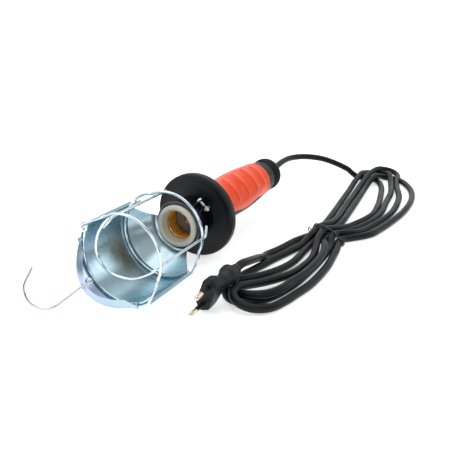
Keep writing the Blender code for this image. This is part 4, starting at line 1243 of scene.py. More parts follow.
@dataclass
class Handle:
    """The barrel-shaped core, the ribbed soft grip let into it, and the disc guard."""

    shape: Profile = ((2.6, 24.0), (7.2, 24.0), (8.8, 21.6), (59.0, 21.8), (75.0, 22.4), (90.0, 22.7),
                      (100.0, 22.5), (119.0, 21.2), (134.0, 20.0), (144.0, 19.4), (151.0, 18.9))
    bore: float = 12.5
    grip: tuple[float, float] = (14.0, 134.0)
    recess: float = 1.6
    proud: float = 0.7
    gap: float = 0.3
    rib_first: float = 51.0
    rib_pitch: float = 21.0
    rib_count: int = 4
    rib_height: float = 1.0
    disc_radius: float = 41.9
    disc_depth: float = 7.5
    disc_hole: float = 20.2

    def radius(self, x: float) -> float:
        """Give the core's radius at x, eased between the stations of its shape."""
        if x < 12:
            return ramp(x, self.shape)
        return sum(ramp(x + d, self.shape) for d in (-8, -4, 0, 4, 8)) / 5 if x < 140 else ramp(x, self.shape)

    def edge(self, x: float) -> float:
        """Give half of the angle that the grip spans at x. Its lower edge waves."""
        return radians(71.0 + 5.5 * cos(2 * pi * (x - 72.0) / 54.0))

    def core(self) -> bpy.types.Object:
        """Build the core with the recess that holds the grip."""
        front, rear = self.grip[0] - self.gap, self.grip[1] + self.gap
        sunk = self.recess
        slack = self.gap / 20.0
        stations: list[tuple[float, float, float, float]] = []

        def station(x: float, full: float, deep: float) -> None:
            """Add a section, with its radius outside the recess and in it."""
            stations.append((x, full, deep, self.edge(min(max(x, front), rear)) + slack))

        station(2.6, self.bore, self.bore)
        for x, cut in ((2.6, 0.6), (3.2, 0.0), (6.6, 0.0), (7.2, 0.4), (7.6, 1.2), (8.2, 2.0), (8.8, 2.4)):
            r = 24.0 - cut
            station(x, r, r)
        for x in np.linspace(10.0, front, 3):
            station(float(x), self.radius(float(x)), self.radius(float(x)))
        for x in np.linspace(front, rear, 100):
            station(float(x), self.radius(float(x)), self.radius(float(x)) - sunk)
        for x in np.linspace(rear, 150.4, 8):
            station(float(x), self.radius(float(x)), self.radius(float(x)))
        station(151.0, 18.3, 18.3)
        station(151.0, self.bore, self.bore)
        rows = []
        for x, full, deep, edge in stations:
            top = [edge * (2 * k / 40 - 1) for k in range(41)]
            rest = [edge + (2 * pi - 2 * edge) * k / 44 for k in range(45)]
            rows.append([(x, deep * sin(a), deep * cos(a)) for a in top]
                        + [(x, full * sin(a), full * cos(a)) for a in rest])
        return Shape().grid(rows, around=True, closed=True).piece("handle_barrel", BLACK_MOULDING)

    def relief(self, x: float, angle: float) -> float:
        """Give how far the grip's ribs and finger valleys stand from its even surface."""
        back = x - 3.0 * (angle / radians(38.0)) ** 2
        rib = (back - self.rib_first) / self.rib_pitch
        near = (rib - round(rib)) * self.rib_pitch
        inside = 1 / (1 + exp(-(rib + 0.42) * 14)) / (1 + exp((rib - self.rib_count + 0.55) * 14))
        side = max(0.0, min(1.0, (radians(47.0) - abs(angle)) / radians(15.0)))
        crest = self.rib_height * 1.15 * exp(-(near / 1.5) ** 2)
        valley = 0.75 * (0.5 - 0.5 * cos(2 * pi * rib))
        ease = side * side * (3 - 2 * side)
        return (crest + 0.25 - valley) * inside * ease

    def cover(self) -> bpy.types.Object:
        """Build the soft grip with swept ribs, rounded rims and a small moulding dimple."""
        first, last = self.grip
        outer, inner = [], []
        columns = 120
        stations = np.concatenate([[first, first + 0.15, first + 0.45],
                                   np.linspace(first + 0.9, last - 0.9, 230),
                                   [last - 0.45, last - 0.15, last]])
        for x in map(float, stations):
            fade = min(x - first, last - x)
            row, under = [], []
            for j in range(columns + 1):
                share = 2 * j / columns - 1
                angle = self.edge(x) * share
                lip = min(fade, (1 - abs(share)) * self.edge(x) * 22.0)
                drop = 0.7 * max(0.0, 1 - lip / 0.9) ** 2
                r = self.radius(x) + self.proud + self.relief(x, angle) - drop
                r += 0.5 / (1 + exp(-(x - last + 4.6) * 3.0))
                r += 0.18 * exp(-((x - 72 - 18 * cos(angle * 1.2)) / 40) ** 2)
                spot = hypot(x - 82.0, (angle - 0.12) * 22.5)
                r -= 0.75 * exp(-(spot / 0.95) ** 2)
                row.append((x, r * sin(angle), r * cos(angle)))
                low = self.radius(x) - self.recess + self.gap
                under.append((x, low * sin(angle), low * cos(angle)))
            outer.append(row)
            inner.append(under[::-1])
        rows = [a + b for a, b in zip(outer, inner)]
        return Shape().grid(rows, around=True, caps=True).piece("soft_grip_cover", ORANGE_RUBBER, 60)

    def disc(self) -> bpy.types.Object:
        """Build the disc guard with its raised rim band."""
        r, wall = self.disc_radius, 2.0
        profile = [(0.0, self.disc_hole), (0.15, r - 20), (0.6, r - 6.4), (0.15, r - 5.2), (-0.3, r - 3.2),
                   (-0.55, r - 2.2), (-0.3, r - 1.2), (1.0, r), (self.disc_depth, r),
                   (self.disc_depth, r - wall), (2.6, r - wall), (wall, r - 4.0), (wall, self.disc_hole)]
        return Shape().lathe(rounded(profile, 0.9), segments=160).piece("disc_shield", DISC_MOULDING, 50)

    def build(self) -> None:
        """Build and settle the handle's pieces."""
        settle(self.core(), Body.LAMP, "black_plastic", "handle_core")
        settle(self.cover(), Body.LAMP, "orange_rubber", "grip_cover")
        settle(self.disc(), Body.LAMP, "black_plastic", "disc_guard")


@dataclass
class EndCap:
    """The bell-shaped cap with four slots round its neck, and the lead's gland."""

    front: float = 151.4
    rear: float = 174.0
    neck: float = 14.6
    bell: float = 19.3
    hole: float = 7.6
    slots: int = 4
    slot_turn: float = -50.0
    gland_end: float = 176.0
    cord: float = 3.8
    gap: float = 0.3

    def bell_piece(self, studs: StudTree) -> bpy.types.Object:
        """Build the cap, with a row of slots cut round its neck."""
        f, n, b, e = self.front, self.neck, self.bell, self.rear
        profile = [(f, n - 0.3), (f + 0.5, n), (f + 8.6, n), (f + 9.6, n + 0.5), (f + 11.5, b - 2.6),
                   (f + 13.0, b - 0.9), (f + 14.8, b), (e - 4.0, b - 0.5), (e - 1.0, b - 2.0), (e, b - 4.0),
                   (e, self.hole), (e - 3.0, self.hole), (e - 3.0, b - 5.0), (f + 12.0, n - 1.0),
                   (f + 9.0, n - 2.4), (f, n - 2.4)]
        cap = Shape().lathe(rounded(profile, 0.7), segments=128).piece("end_bell", BLACK_MOULDING, 45)
        slot = Shape(Matrix.Identity(4)).grid([
            [(x, y * w, z * w) for y, z in self.slot_outline()] for x, w in ((-1.5, 1), (1.5, 1))],
            around=True, caps=True)
        pattern = slot.piece("slot_pattern", BLACK_MOULDING)
        places = []
        for k in range(self.slots):
            turn = Matrix.Rotation(radians(self.slot_turn) + k * 2 * pi / self.slots, 4, "X")
            places.append(LAMP_FRAME @ Matrix.Translation(((f + 4.6) * MM, 0, 0)) @ turn
                          @ Matrix.Translation((0, 0, n * MM)))
        return carve(cap, studs.repeat("cap_slots", pattern, places, BLACK_MOULDING), BLACK_MOULDING, 45)

    def slot_outline(self) -> list[tuple[float, float]]:
        """Give a slot's outline across the neck, with rounded ends."""
        found = []
        for side in (1, -1):
            for k in range(9):
                a = radians(-90 + 180 * k / 8) + (0 if side > 0 else pi)
                sign = 1 if sin(a) > 0 else -1
                found.append((side * 1.1 + 1.5 * cos(a), 3.0 * sign * min(1, abs(sin(a)) * 3)))
        return found

    def gland(self) -> bpy.types.Object:
        """Build the tapered gland on the lead."""
        e, inside = self.rear, self.front + 1.0
        bore, waist = self.cord + self.gap, self.hole - self.gap
        profile = [(self.gland_end, bore), (self.gland_end, 5.6), (e - 2.4, waist), (e - 3.3, waist),
                   (e - 3.3, 9.5), (e - 6.5, 9.5), (e - 8.0, 8.2), (inside, 6.0), (inside, bore)]
        return Shape().lathe(rounded(profile, 0.4), segments=64).piece("lead_gland", GLAND_RUBBER, 50)

    def build(self, studs: StudTree) -> None:
        """Build and settle the cap and the gland."""
        settle(self.bell_piece(studs), Body.LAMP, "black_plastic", "end_cap")
        settle(self.gland(), Body.LAMP, "black_rubber", "cord_gland")


# ---------------------------------------------------------------- lampholder and its clamp


@dataclass
class Lampholder:
    """The porcelain lampholder in its black sleeve, with shell, contacts and screws."""

    sleeve_radius: float = 19.5
    sleeve_front: float = -26.4
    ring_front: float = -31.0
    ring_radius: float = 23.4
    lip: float = -35.1
    outer: float = 20.5
    neck: float = 17.6
    mouth: float = 16.1
    shell: float = 14.1
    shell_front: float = -27.0
    shell_rear: float = -11.0
    floor: float = -8.0
    pitch: float = 3.63
    lock_x: float = -22.5
    lock_angle: float = radians(195.0)
    gap: float = 0.3

    def lock_direction(self) -> Vector:
        """Give the direction that the lock screw points out in."""
        return Vector((0, cos(self.lock_angle), sin(self.lock_angle)))

    def hub(self) -> bpy.types.Object:
        """Build the sleeve round the porcelain, with the lock screw's hole."""
        inner = self.neck + self.gap
        profile = [(self.sleeve_front, self.sleeve_radius), (2.3, self.sleeve_radius), (2.3, inner),
                   (self.sleeve_front, inner)]
        hub = Shape().lathe(rounded(profile, 0.5), segments=128).piece("hub_tube", GLOSS_BLACK_AND_SHEEN, 50)
        drill = Shape().lathe(rod(15, 24, 1.8), (self.lock_x, 0, 0),
                              tuple(self.lock_direction()), 32).piece("lock_drill", GLOSS_BLACK_AND_SHEEN)
        return carve(hub, drill, GLOSS_BLACK_AND_SHEEN, 50)

    def lip_ring(self) -> bpy.types.Object:
        """Build the black ring round the porcelain's lip."""
        f, r, inner = self.ring_front, self.ring_radius, self.outer + self.gap
        profile = [(f, inner), (f, r - 0.8), (f + 0.8, r), (-29.4, r), (-28.0, inner)]
        return Shape().lathe(rounded(profile, 0.5), segments=128).piece("lip_band", GLOSS_BLACK_AND_SHEEN, 50)

    def porcelain(self) -> bpy.types.Object:
        """Build the porcelain body with its rounded lip and the two screw holes."""
        f, o, n, m, s = self.lip, self.outer, self.neck, self.mouth, self.shell + self.gap
        profile = [(f, m + 1.2), (f, o - 2.2), (f + 0.7, o - 0.7), (f + 2.3, o), (-27.7, o), (-27.7, n),
                   (-1.5, n), (-1.5, AXIS_CORE), (self.floor, AXIS_CORE), (self.floor, s),
                   (self.shell_front - 0.6, s), (f + 0.8, m)]
        body = Shape().lathe(rounded(profile, 0.8, 4), segments=128).piece("porcelain_cup", PORCELAIN, 50)
        drills = Shape()
        for side in (-1, 1):
            drills.lathe(rod(0, 12, 2.2), (-11.0, 8.0 * side, 0), segments=24)
        return carve(body, drills.piece("screw_drills", PORCELAIN), PORCELAIN, 50)

    def thread(self, x: float, angle: float) -> float:
        """Give the rolled shell's radius, where the thread climbs one pitch a turn."""
        wave = 0.5 - 0.5 * cos(2 * pi * ((x - self.shell_front - 0.8) / self.pitch - angle / (2 * pi)))
        front = min(1.0, max(0.0, (x - self.shell_front) / 1.2))
        rear = min(1.0, max(0.0, (self.shell_rear - x) / 1.2))
        return self.shell - 0.8 * wave * (front * rear)

    def screw_shell(self) -> bpy.types.Object:
        """Build the rolled brass shell."""
        rows = []
        for wall in (0.0, 0.5):
            xs = np.linspace(self.shell_front, self.shell_rear, 90)
            for x in xs if wall == 0 else xs[::-1]:
                angles = [2 * pi * k / 96 for k in range(96)]
                rows.append([(float(x), (self.thread(float(x), a) - wall) * cos(a),
                              (self.thread(float(x), a) - wall) * sin(a)) for a in angles])
        return Shape().grid(rows, around=True, closed=True).piece("threaded_shell", BRASS, 50)

    def plate(self) -> bpy.types.Object:
        """Build the insulating plate that carries the contacts."""
        front, back = -10.6, self.floor - self.gap
        made = Shape().lathe(rounded(rod(front, back, 12.6), 0.3),
                             segments=64).piece("insulating_plate", FIBRE_BOARD, 50)
        drills = Shape()
        for side in (-1, 1):
            drills.lathe(rod(0, 8, 1.9), (-14.0, 8.0 * side, 0), segments=24)
        return carve(made, drills.piece("plate_drills", FIBRE_BOARD), FIBRE_BOARD, 50)

    def spring(self, name: str, bends: Profile, half: float, hole_y: float) -> bpy.types.Object:
        """Build one sprung contact strip.

        Args:
            name: The piece's name.
            bends: (x, y) along the strip's middle.
            half: Half of its width.
            hole_y: Where its screw passes.

        Returns:
            The strip.
        """
        route = smooth_route([(x, y, 0) for x, y in bends], 0.35)
        rows = [[(p.x, p.y, w * half * (0.72 + 0.28 * min(1.0, k / 5, (len(route) - 1 - k) / 5)))
                 for k, p in enumerate(route)] for w in (-1, -0.5, 0, 0.5, 1)]
        strip = Shape().grid(rows).piece(name, COPPER, 40, thick=0.5)
        drill = Shape().lathe(rod(0, 8, 1.9), (-15.0, hole_y, 0),
                              segments=24).piece("strip_drill", COPPER)
        return carve(strip, drill, COPPER, 40)

    def screw_pattern(self, shank: float, length: float, head: float, depth: float) -> bpy.types.Object:
        """Model a slotted screw about the origin, head at −x, as a pattern to repeat."""
        profile = [(-depth, AXIS_CORE), (-depth, head * 0.6), (-depth * 0.75, head * 0.88),
                   (-depth * 0.4, head), (0, head), (0, shank)]
        for k in range(int(length / 0.7)):
            profile += [(0.3 + 0.7 * k, shank), (0.65 + 0.7 * k, shank - 0.12)]
        profile += [(length, shank - 0.2), (length, AXIS_CORE)]
        made = Shape(Matrix.Identity(4)).lathe(profile, segments=28).piece("screw_pattern", NICKEL, 35)
        top, bed = -depth - 1, -depth * 0.45
        rows = [[(top, -0.35, z), (top, 0.35, z), (bed, 0.35, z), (bed, -0.35, z)]
                for z in (-head - 1, head + 1)]
        slot = Shape(Matrix.Identity(4)).grid(rows, around=True, caps=True).piece("screw_slot", NICKEL)
        return carve(made, slot, NICKEL, 35)

    def build(self, studs: StudTree) -> None:
        """Build and settle the lampholder's pieces."""
        settle(self.hub(), Body.LAMP, "gloss_black", "hub_sleeve")
        settle(self.lip_ring(), Body.LAMP, "gloss_black", "lip_ring")
        settle(self.porcelain(), Body.LAMP, "porcelain", "porcelain_body")
        settle(self.screw_shell(), Body.LAMP, "brass", "brass_shell")
        settle(self.plate(), Body.LAMP, "fibre", "contact_plate")
        settle(self.spring("centre_tongue", ((-11.25, 11.0), (-11.25, 5.0), (-12.6, 2.6), (-14.6, 0.0),
                                             (-14.4, -2.6)), 2.4, 8.0), Body.LAMP, "copper", "centre_contact")
        settle(self.spring("side_tongue", ((-11.25, -5.2), (-11.25, -9.6), (-11.5, -10.8), (-12.4, -11.7),
                                           (-14.2, -11.9)), 2.2, -8.0), Body.LAMP, "copper", "side_contact")
        places = [LAMP_FRAME @ Matrix.Translation(Vector((-11.8, 8.0 * side, 0)) * MM)
                  @ Matrix.Rotation(radians(turn), 4, "X") for side, turn in ((1, 35.0), (-1, 100.0))]
        screws = studs.repeat("terminal_screws", self.screw_pattern(1.5, 14.0, 2.4, 1.2), places, NICKEL)
        settle(screws, Body.LAMP, "bright_steel", "terminal_screw_1", "terminal_screw_2")


@dataclass
class NeckStrap:
    """The strap that clamps the reflector to the sleeve, with its screw, nut and lock screw."""

    radius: float = 20.2
    front: float = -25.6
    rear: float = -0.6
    ear: float = 27.2
    sheet: float = 0.8
    clamp_x: float = -11.5
    clamp_z: float = 24.2
    far: Profile = ((-26.0, 2.9), (0.0, 3.5))
    near: Profile = ((-26.0, -5.7), (0.0, 0.7))

    def strap(self, holder: Lampholder) -> bpy.types.Object:
        """Build the strap: a ring of sheet whose two ends turn up into ears."""
        rows = []
        for x in np.linspace(self.front, self.rear, 26):
            x = float(x)
            far, near = ramp(x, self.far), ramp(x, self.near)
            root_far, root_near = sqrt(self.radius**2 - far**2), sqrt(self.radius**2 - near**2)
            tip = self.ear - 2.2 * max(0.0, 1 - (x - self.front) / 2.5) ** 2 \
                - 2.2 * max(0.0, 1 - (self.rear - x) / 2.5) ** 2
            start, end = 90 - 57.3 * far / self.radius - 2, 90 - 57.3 * near / self.radius + 2 - 360
            ring = [tuple(p) for p in arc(x, (0, 0), self.radius, start, end, 3.0)]
            up = [0.0, 0.08, 0.25, 0.5, 0.75, 1.0]
            rows.append([(x, far, root_far + (tip - root_far) * u) for u in up[::-1]] + ring
                        + [(x, near, root_near + (tip - root_near) * u) for u in up])
        strap = Shape().grid(rows).piece("clamping_strap", STRAP_BLACK_AND_SHEEN, 30, thick=self.sheet)
        drills = Shape().lathe(rod(0, 20, 2.1), (self.clamp_x, -10, self.clamp_z),
                               (0, 1, 0), 32)
        drills.lathe(rod(15, 24, 1.8), (holder.lock_x, 0, 0),
                     tuple(holder.lock_direction()), 32)
        return carve(strap, drills.piece("strap_drills", STRAP_BLACK_AND_SHEEN), STRAP_BLACK_AND_SHEEN, 30)

    def nut(self) -> bpy.types.Object:
        """Build the hexagonal nut, chamfered at both ends."""
        rows = []
        for x, grow in ((0.0, 0.90), (0.35, 1.0), (2.25, 1.0), (2.6, 0.90)):
            rows.append((x, 3.9 * grow))
        turn = Vector((0, 1, 0)).to_track_quat("X", "Z").to_matrix()
        base = Vector((self.clamp_x, -7.0, self.clamp_z))
        grid = []
        for x, r in [(0.0, 2.0), *rows, (2.6, 2.0)]:
            line = []
            for k in range(48):
                a = 2 * pi * k / 48
                side = (a % (pi / 3)) - pi / 6
                reach = r if r == 2.0 else min(r, 3.9 * cos(pi / 6) / cos(side))
                line.append(base + turn @ Vector((x, reach * cos(a), reach * sin(a))))
            grid.append(line)
        return Shape().grid(grid, around=True, closed=True).piece("clamping_nut", NICKEL, 25)

    def build(self, holder: Lampholder, studs: StudTree) -> None:
        """Build and settle the strap and its fasteners."""
        settle(self.strap(holder), Body.LAMP, "bright_steel", "neck_strap")
        settle(self.nut(), Body.LAMP, "bright_steel", "clamp_nut")
        turn = Vector((0, -1, 0)).to_track_quat("X", "Z").to_matrix().to_4x4()
        place = LAMP_FRAME @ Matrix.Translation(Vector((self.clamp_x, 3.95, self.clamp_z)) * MM) @ turn
        settle(studs.repeat("clamping_screw", holder.screw_pattern(1.7, 12.2, 3.3, 2.4), [place], NICKEL),
               Body.LAMP, "bright_steel", "clamp_screw")
        out = holder.lock_direction()
        base = Vector((holder.lock_x, 0, 0)) + out * (self.radius + self.sheet / 2 + 0.3)
        turn = (-out).to_track_quat("X", "Z").to_matrix().to_4x4()
        place = LAMP_FRAME @ Matrix.Translation(base * MM) @ turn
        settle(studs.repeat("sleeve_lock_screw", holder.screw_pattern(1.4, 2.7, 2.8, 2.6), [place], NICKEL),
               Body.LAMP, "bright_steel", "lock_screw")


# ---------------------------------------------------------------- reflector and wires


@dataclass
class Reflector:
    """The half-round trough with hemmed rims and a turned-in lip, and the cone behind it."""

    radius: float = 42.0
    sheet: float = 0.7
    rear: float = -53.0
    front: float = -119.0
    bulge: float = 13.2
    rim: float = radians(81.0)
    lip: float = radians(64.0)
    lip_depth: float = 7.6
    hem: float = 2.5
    hook_hole: Point = (-132.6, 5.4, -38.4)
    cone: Sequence[tuple[float, float, float]] = (
        (-56.4, 41.0, 81.0), (-53.6, 41.0, 81.0), (-51.0, 39.2, 76.0), (-45.0, 35.3, 72.0),
        (-38.0, 30.9, 67.0), (-30.0, 26.0, 62.0), (-28.3, 23.2, 60.0), (-26.5, 20.3, 58.0))

    def at(self, x: float, radius: float, angle: float) -> Point:
        """Give a point of the reflector. Angles run from its bottom towards the hinge side."""
        return (x, radius * sin(angle), -radius * cos(angle))

    def crease(self, angle: float) -> tuple[float, float]:
        """Give the front crease's x at one angle, and how far it bulges from 0 to 1."""
        bulge = cos(min(abs(angle) / radians(66.0), 1.0) * pi / 2) ** 1.5
        return self.front - self.bulge * bulge, bulge

    def trough(self) -> bpy.types.Object:
        """Build the trough from one sheet, hems, rims and lip included, with the hook's hole."""
        rows = []
        for k in range(121):
            angle = self.rim * (k / 60 - 1)
            crease, bulge = self.crease(angle)
            length = crease + 0.9 - self.rear
            row: list[Point | None] = [self.at(self.rear + length * j / 24, self.radius, angle)
                                       for j in range(25)]
            row += [self.at(crease + 0.35, self.radius - 0.04, angle),
                    self.at(crease + 0.05, self.radius - 0.3, angle)]
            depth = self.lip_depth * min(1.0, max(0.02, (self.lip - abs(angle)) / radians(14.0)))
            for share in (0.12, 0.2, 0.35, 0.55, 0.78, 0.93, 1.0):
                inside = abs(angle) <= self.lip
                step_out = 0.7 * min(1.0, share * 6) * bulge
                point = self.at(crease - step_out, self.radius - depth * share, angle)
                row.append(point if inside else None)
            rows.append(row)
        for side in (-1, 1):
            rim = rows[0] if side < 0 else rows[-1]
            for reach, lift in ((0.35, 0.02), (0.9, 0.08), (1.8, 0.15), (self.hem, 0.2)):
                hem = [p and (p[0], p[1] + side * reach, p[2] + lift) for p in rim]
                rows.insert(0 if side < 0 else len(rows), hem)
        sheet = Shape().grid(rows).piece("reflector_sheet", TROUGH_PLATE, 35, thick=self.sheet)
        x, y, z = self.hook_hole
        drill = Shape().grid([[(x + d, y + 1.75 * cos(a), z + 1.75 * 1.62 * sin(a))
                               for a in (2 * pi * k / 40 for k in range(40))] for d in (-3, 3)],
                             around=True, caps=True).piece("hook_drill", TROUGH_PLATE)
        return carve(sheet, drill, TROUGH_PLATE, 35)

    def funnel(self) -> bpy.types.Object:
        """Build the cone that joins the trough to the lampholder's sleeve."""
        stations = smooth_profile(self.cone, 40)
        rows = [[self.at(x, r, radians(half) * (k / 50 - 1)) for x, r, half in stations] for k in range(101)]
        return Shape().grid(rows).piece("reflector_funnel", REAR_PLATE, 45, thick=self.sheet)

    def build(self) -> None:
        """Build and settle both sheets."""
        settle(self.trough(), Body.LAMP, "blue_sheet", "reflector_trough")
        settle(self.funnel(), Body.LAMP, "blue_sheet", "reflector_rear")


def smooth_profile(stations: Sequence[Sequence[float]], count: int) -> list[tuple[float, ...]]:
    """Fill in a list of stations evenly along its first column, keeping every given station."""
    table = np.array(stations)
    xs = np.unique(np.round(np.concatenate([np.linspace(table[0, 0], table[-1, 0], count), table[:, 0]]), 4))
    columns = [np.interp(xs, table[:, 0], table[:, k]) for k in range(1, table.shape[1])]
    return [tuple(float(v) for v in row) for row in zip(xs, *columns)]


@dataclass
class WireWork:
    """The two hoops in the reflector, and the hinged guard that closes over its opening."""

    wire: float = 1.25
    hoop: float = 42.0 - 0.35 - 0.3 - 1.25
    hoop_x: tuple[float, float] = (-116.7, -58.4)
    pin_end: tuple[float, float] = (-126.0, -43.8)
    hinge_z: float = -4.7
    eye_x: tuple[float, float] = (-122.2, -47.6)
    arch_centre: tuple[float, float] = (0.8, 2.0)
    arch: float = 35.7
    front_arch_x: float = -113.0
    nose_x: float = -117.2

    @property
    def hinge_y(self) -> float:
        """The hinge line's y."""
        return sqrt(self.hoop**2 - self.hinge_z**2)

    @property
    def eye(self) -> float:
        """The radius of an eye's middle line."""
        return 2 * self.wire + 0.3

    def hoops(self) -> dict[str, list[Point]]:
        """Route the two hoops, whose far ends are the hinge pins."""
        found = {}
        for name, x, end, side in (("front_hoop", self.hoop_x[0], self.pin_end[0], -1),
                                   ("rear_hoop", self.hoop_x[1], self.pin_end[1], 1)):
            ring = [tuple(p) for p in arc(x, (0, 0), self.hoop, 186.0, 349.25)]
            pin = [(x + side * 0.6, self.hinge_y - 0.05, self.hinge_z - 0.6),
                   (x + side * 1.6, self.hinge_y, self.hinge_z),
                   (x + side * 3.0, self.hinge_y, self.hinge_z), (end, self.hinge_y, self.hinge_z)]
            found[name] = ring + smooth_corner(pin)
        return found

    def arch_line(self, near: list, ring: list, far: list, curl: list) -> list[Point]:
        """Join an arch's near foot, its ring, its far foot and its eye in one smooth line."""
        return smooth_route_tuples(near[::-1] + ring[::4] + ring[-1:] + far + curl[::3] + curl[-1:])

    def arches(self) -> dict[str, list[Point]]:
        """Route the two arches, from their near feet over to the eyes round the pins."""
        eye, outer = (self.hinge_y, self.hinge_z), self.hinge_y + self.eye
        x, e = self.front_arch_x, self.eye_x[0]
        near = [(x - 2.4, -36.2, 8.6), (x - 6.0, -39.4, 2.6), (-120.9, -42.0, -3.4), (-120.9, -43.4, -7.6)]
        far = [(x - 3.0, 35.4, 12.0), (x - 7.0, 38.4, 6.4), (e, 41.0, 1.2),
               (e, outer - 0.3, self.hinge_z + 2.0)]
        ring = [tuple(p) for p in arc(x, self.arch_centre, self.arch, 164.0, 20.0)]
        curl = [tuple(p) for p in arc(e, eye, self.eye, 0.0, -232.0, 12.0)]
        found = {"front_arch": self.arch_line(near, ring, far, curl)}
        x = self.eye_x[1]
        near = [(x - 0.4, -37.0, 7.4), (x - 1.6, -39.6, 2.4), (-51.2, -42.2, -3.2), (-51.2, -43.0, -7.6)]
        far = [(x, 37.4, 11.0), (x, 40.8, 4.0), (x, outer - 0.4, self.hinge_z + 3.0)]
        ring = [tuple(p) for p in arc(x, self.arch_centre, self.arch, 166.0, 20.0)]
        curl = [tuple(p) for p in arc(x, eye, self.eye, 0.0, -232.0, 12.0)]
        found["rear_arch"] = self.arch_line(near, ring, far, curl)
        return found

    def runs(self) -> dict[str, list[Point]]:
        """Route the run along each side of the guard. The near one carries on into the nose loop."""
        cy, cz = self.arch_centre
        r = self.arch - self.eye
        fy, fz = cy + r * cos(radians(24.8)), cz + r * sin(radians(24.8))
        ny, nz = cy + r * cos(radians(145.7)), cz + r * sin(radians(145.7))
        far = [(-30.5, fy, fz), (-60, fy, fz), (-90, fy, fz), (-108, fy, fz - 0.6),
               (-112.6, fy - 1.2, fz - 4.6), (-113.8, 29.5, 4.5)]
        n = self.nose_x
        nose = [(n, 29.8, 19.4), (n, 30.2, 10.3), (n, 28.8, -0.2), (n, 25.0, -9.3), (n, 20.9, -15.0),
                (n, 13.1, -19.8), (n, 1.8, -20.4), (n, -7.2, -15.7), (n, -16.7, -6.6), (n, -22.1, 3.4),
                (n, -25.4, 13.0), (-116.4, ny, nz - 2.6), (-112.4, ny, nz)]
        run = [(-95, ny, nz), (-75, ny, nz), (-55, ny, nz), (-38.5, ny, nz), (-35.6, ny + 2.2, nz + 2.2),
               (-32.9, -19.8, 26.4)]
        return {"far_run": smooth_route_tuples(far), "near_run_and_nose": smooth_route_tuples(nose + run)}

    def build(self, wires: SweepTree) -> None:
        """Sweep and settle every wire."""
        for name, line in self.hoops().items():
            settle(wires.sweep(f"{name}_wire", line, self.wire, ZINC_WIRE), Body.LAMP, "zinc_wire", name)
        for name, line in {**self.arches(), **self.runs()}.items():
            settle(wires.sweep(f"{name}_wire", line, self.wire, ZINC_WIRE), Body.GUARD, "zinc_wire", name)


def smooth_corner(points: Sequence[Point]) -> list[Point]:
    """Space extra points along a short bent end."""
    return [tuple(p) for p in smooth_route(points, 0.8)]


def smooth_route_tuples(points: Sequence[Point]) -> list[Point]:
    """Give smooth_route's points as tuples, 1.2 mm apart."""
    return [tuple(p) for p in smooth_route(points, 1.2)]


@dataclass
class HangingHook:
    """The wire hook that swivels in a hole through the reflector's lip."""

    wire: float = 1.25
    hole: Point = (-132.6, 5.4, -38.4)
    tilt: float = radians(49.6)
    lean: float = radians(2.9)
    shank: float = 24.9
    bend: float = 16.9
    sweep: float = radians(154.0)
    point: float = 11.7
    toward: Point = (-0.198, 0.553, 0.810)
    inside: float = 4.4
    curl: float = 2.1

    def route(self) -> list[Point]:
        """Route the wire from the curl inside the lip, out through the hole, to the free tip."""
        shank = Vector((-cos(self.tilt) * cos(self.lean), sin(self.lean), -sin(self.tilt))).normalized()
        toward = Matrix.Rotation(-ROLL, 3, "X") @ Vector(self.toward)
        toward = (toward - shank * toward.dot(shank)).normalized()
        hole = Vector(self.hole)
        eye = hole - shank * (self.inside + self.curl)
        line = [eye + self.curl * (cos(a) * toward + sin(a) * -shank)
                for a in (radians(205.0 - 280.0 * k / 28) for k in range(29))]
        line += [hole - shank * (self.inside - 1.6), hole - shank * 2.0, hole]
        bend = hole + shank * self.shank
        line += [hole.lerp(bend, s) for s in (0.2, 0.4, 0.6, 0.8)]
        centre = bend + toward * self.bend
        line += [centre + self.bend * (sin(a) * shank - cos(a) * toward)
                 for a in (self.sweep * k / 40 for k in range(41))]
        last = cos(self.sweep) * shank + sin(self.sweep) * toward
        tip = line[-1]
        line += [tip + last * self.point * s for s in (0.25, 0.5, 0.75, 1.0)]
        return [tuple(p) for p in line]

    def build(self, wires: SweepTree) -> None:
        """Sweep and settle the hook."""
        wire = wires.sweep("hanging_hook_wire", self.route(), self.wire, HOOK_WIRE)
        settle(wire, Body.HOOK, "zinc_wire", "hook")


# ---------------------------------------------------------------- studio


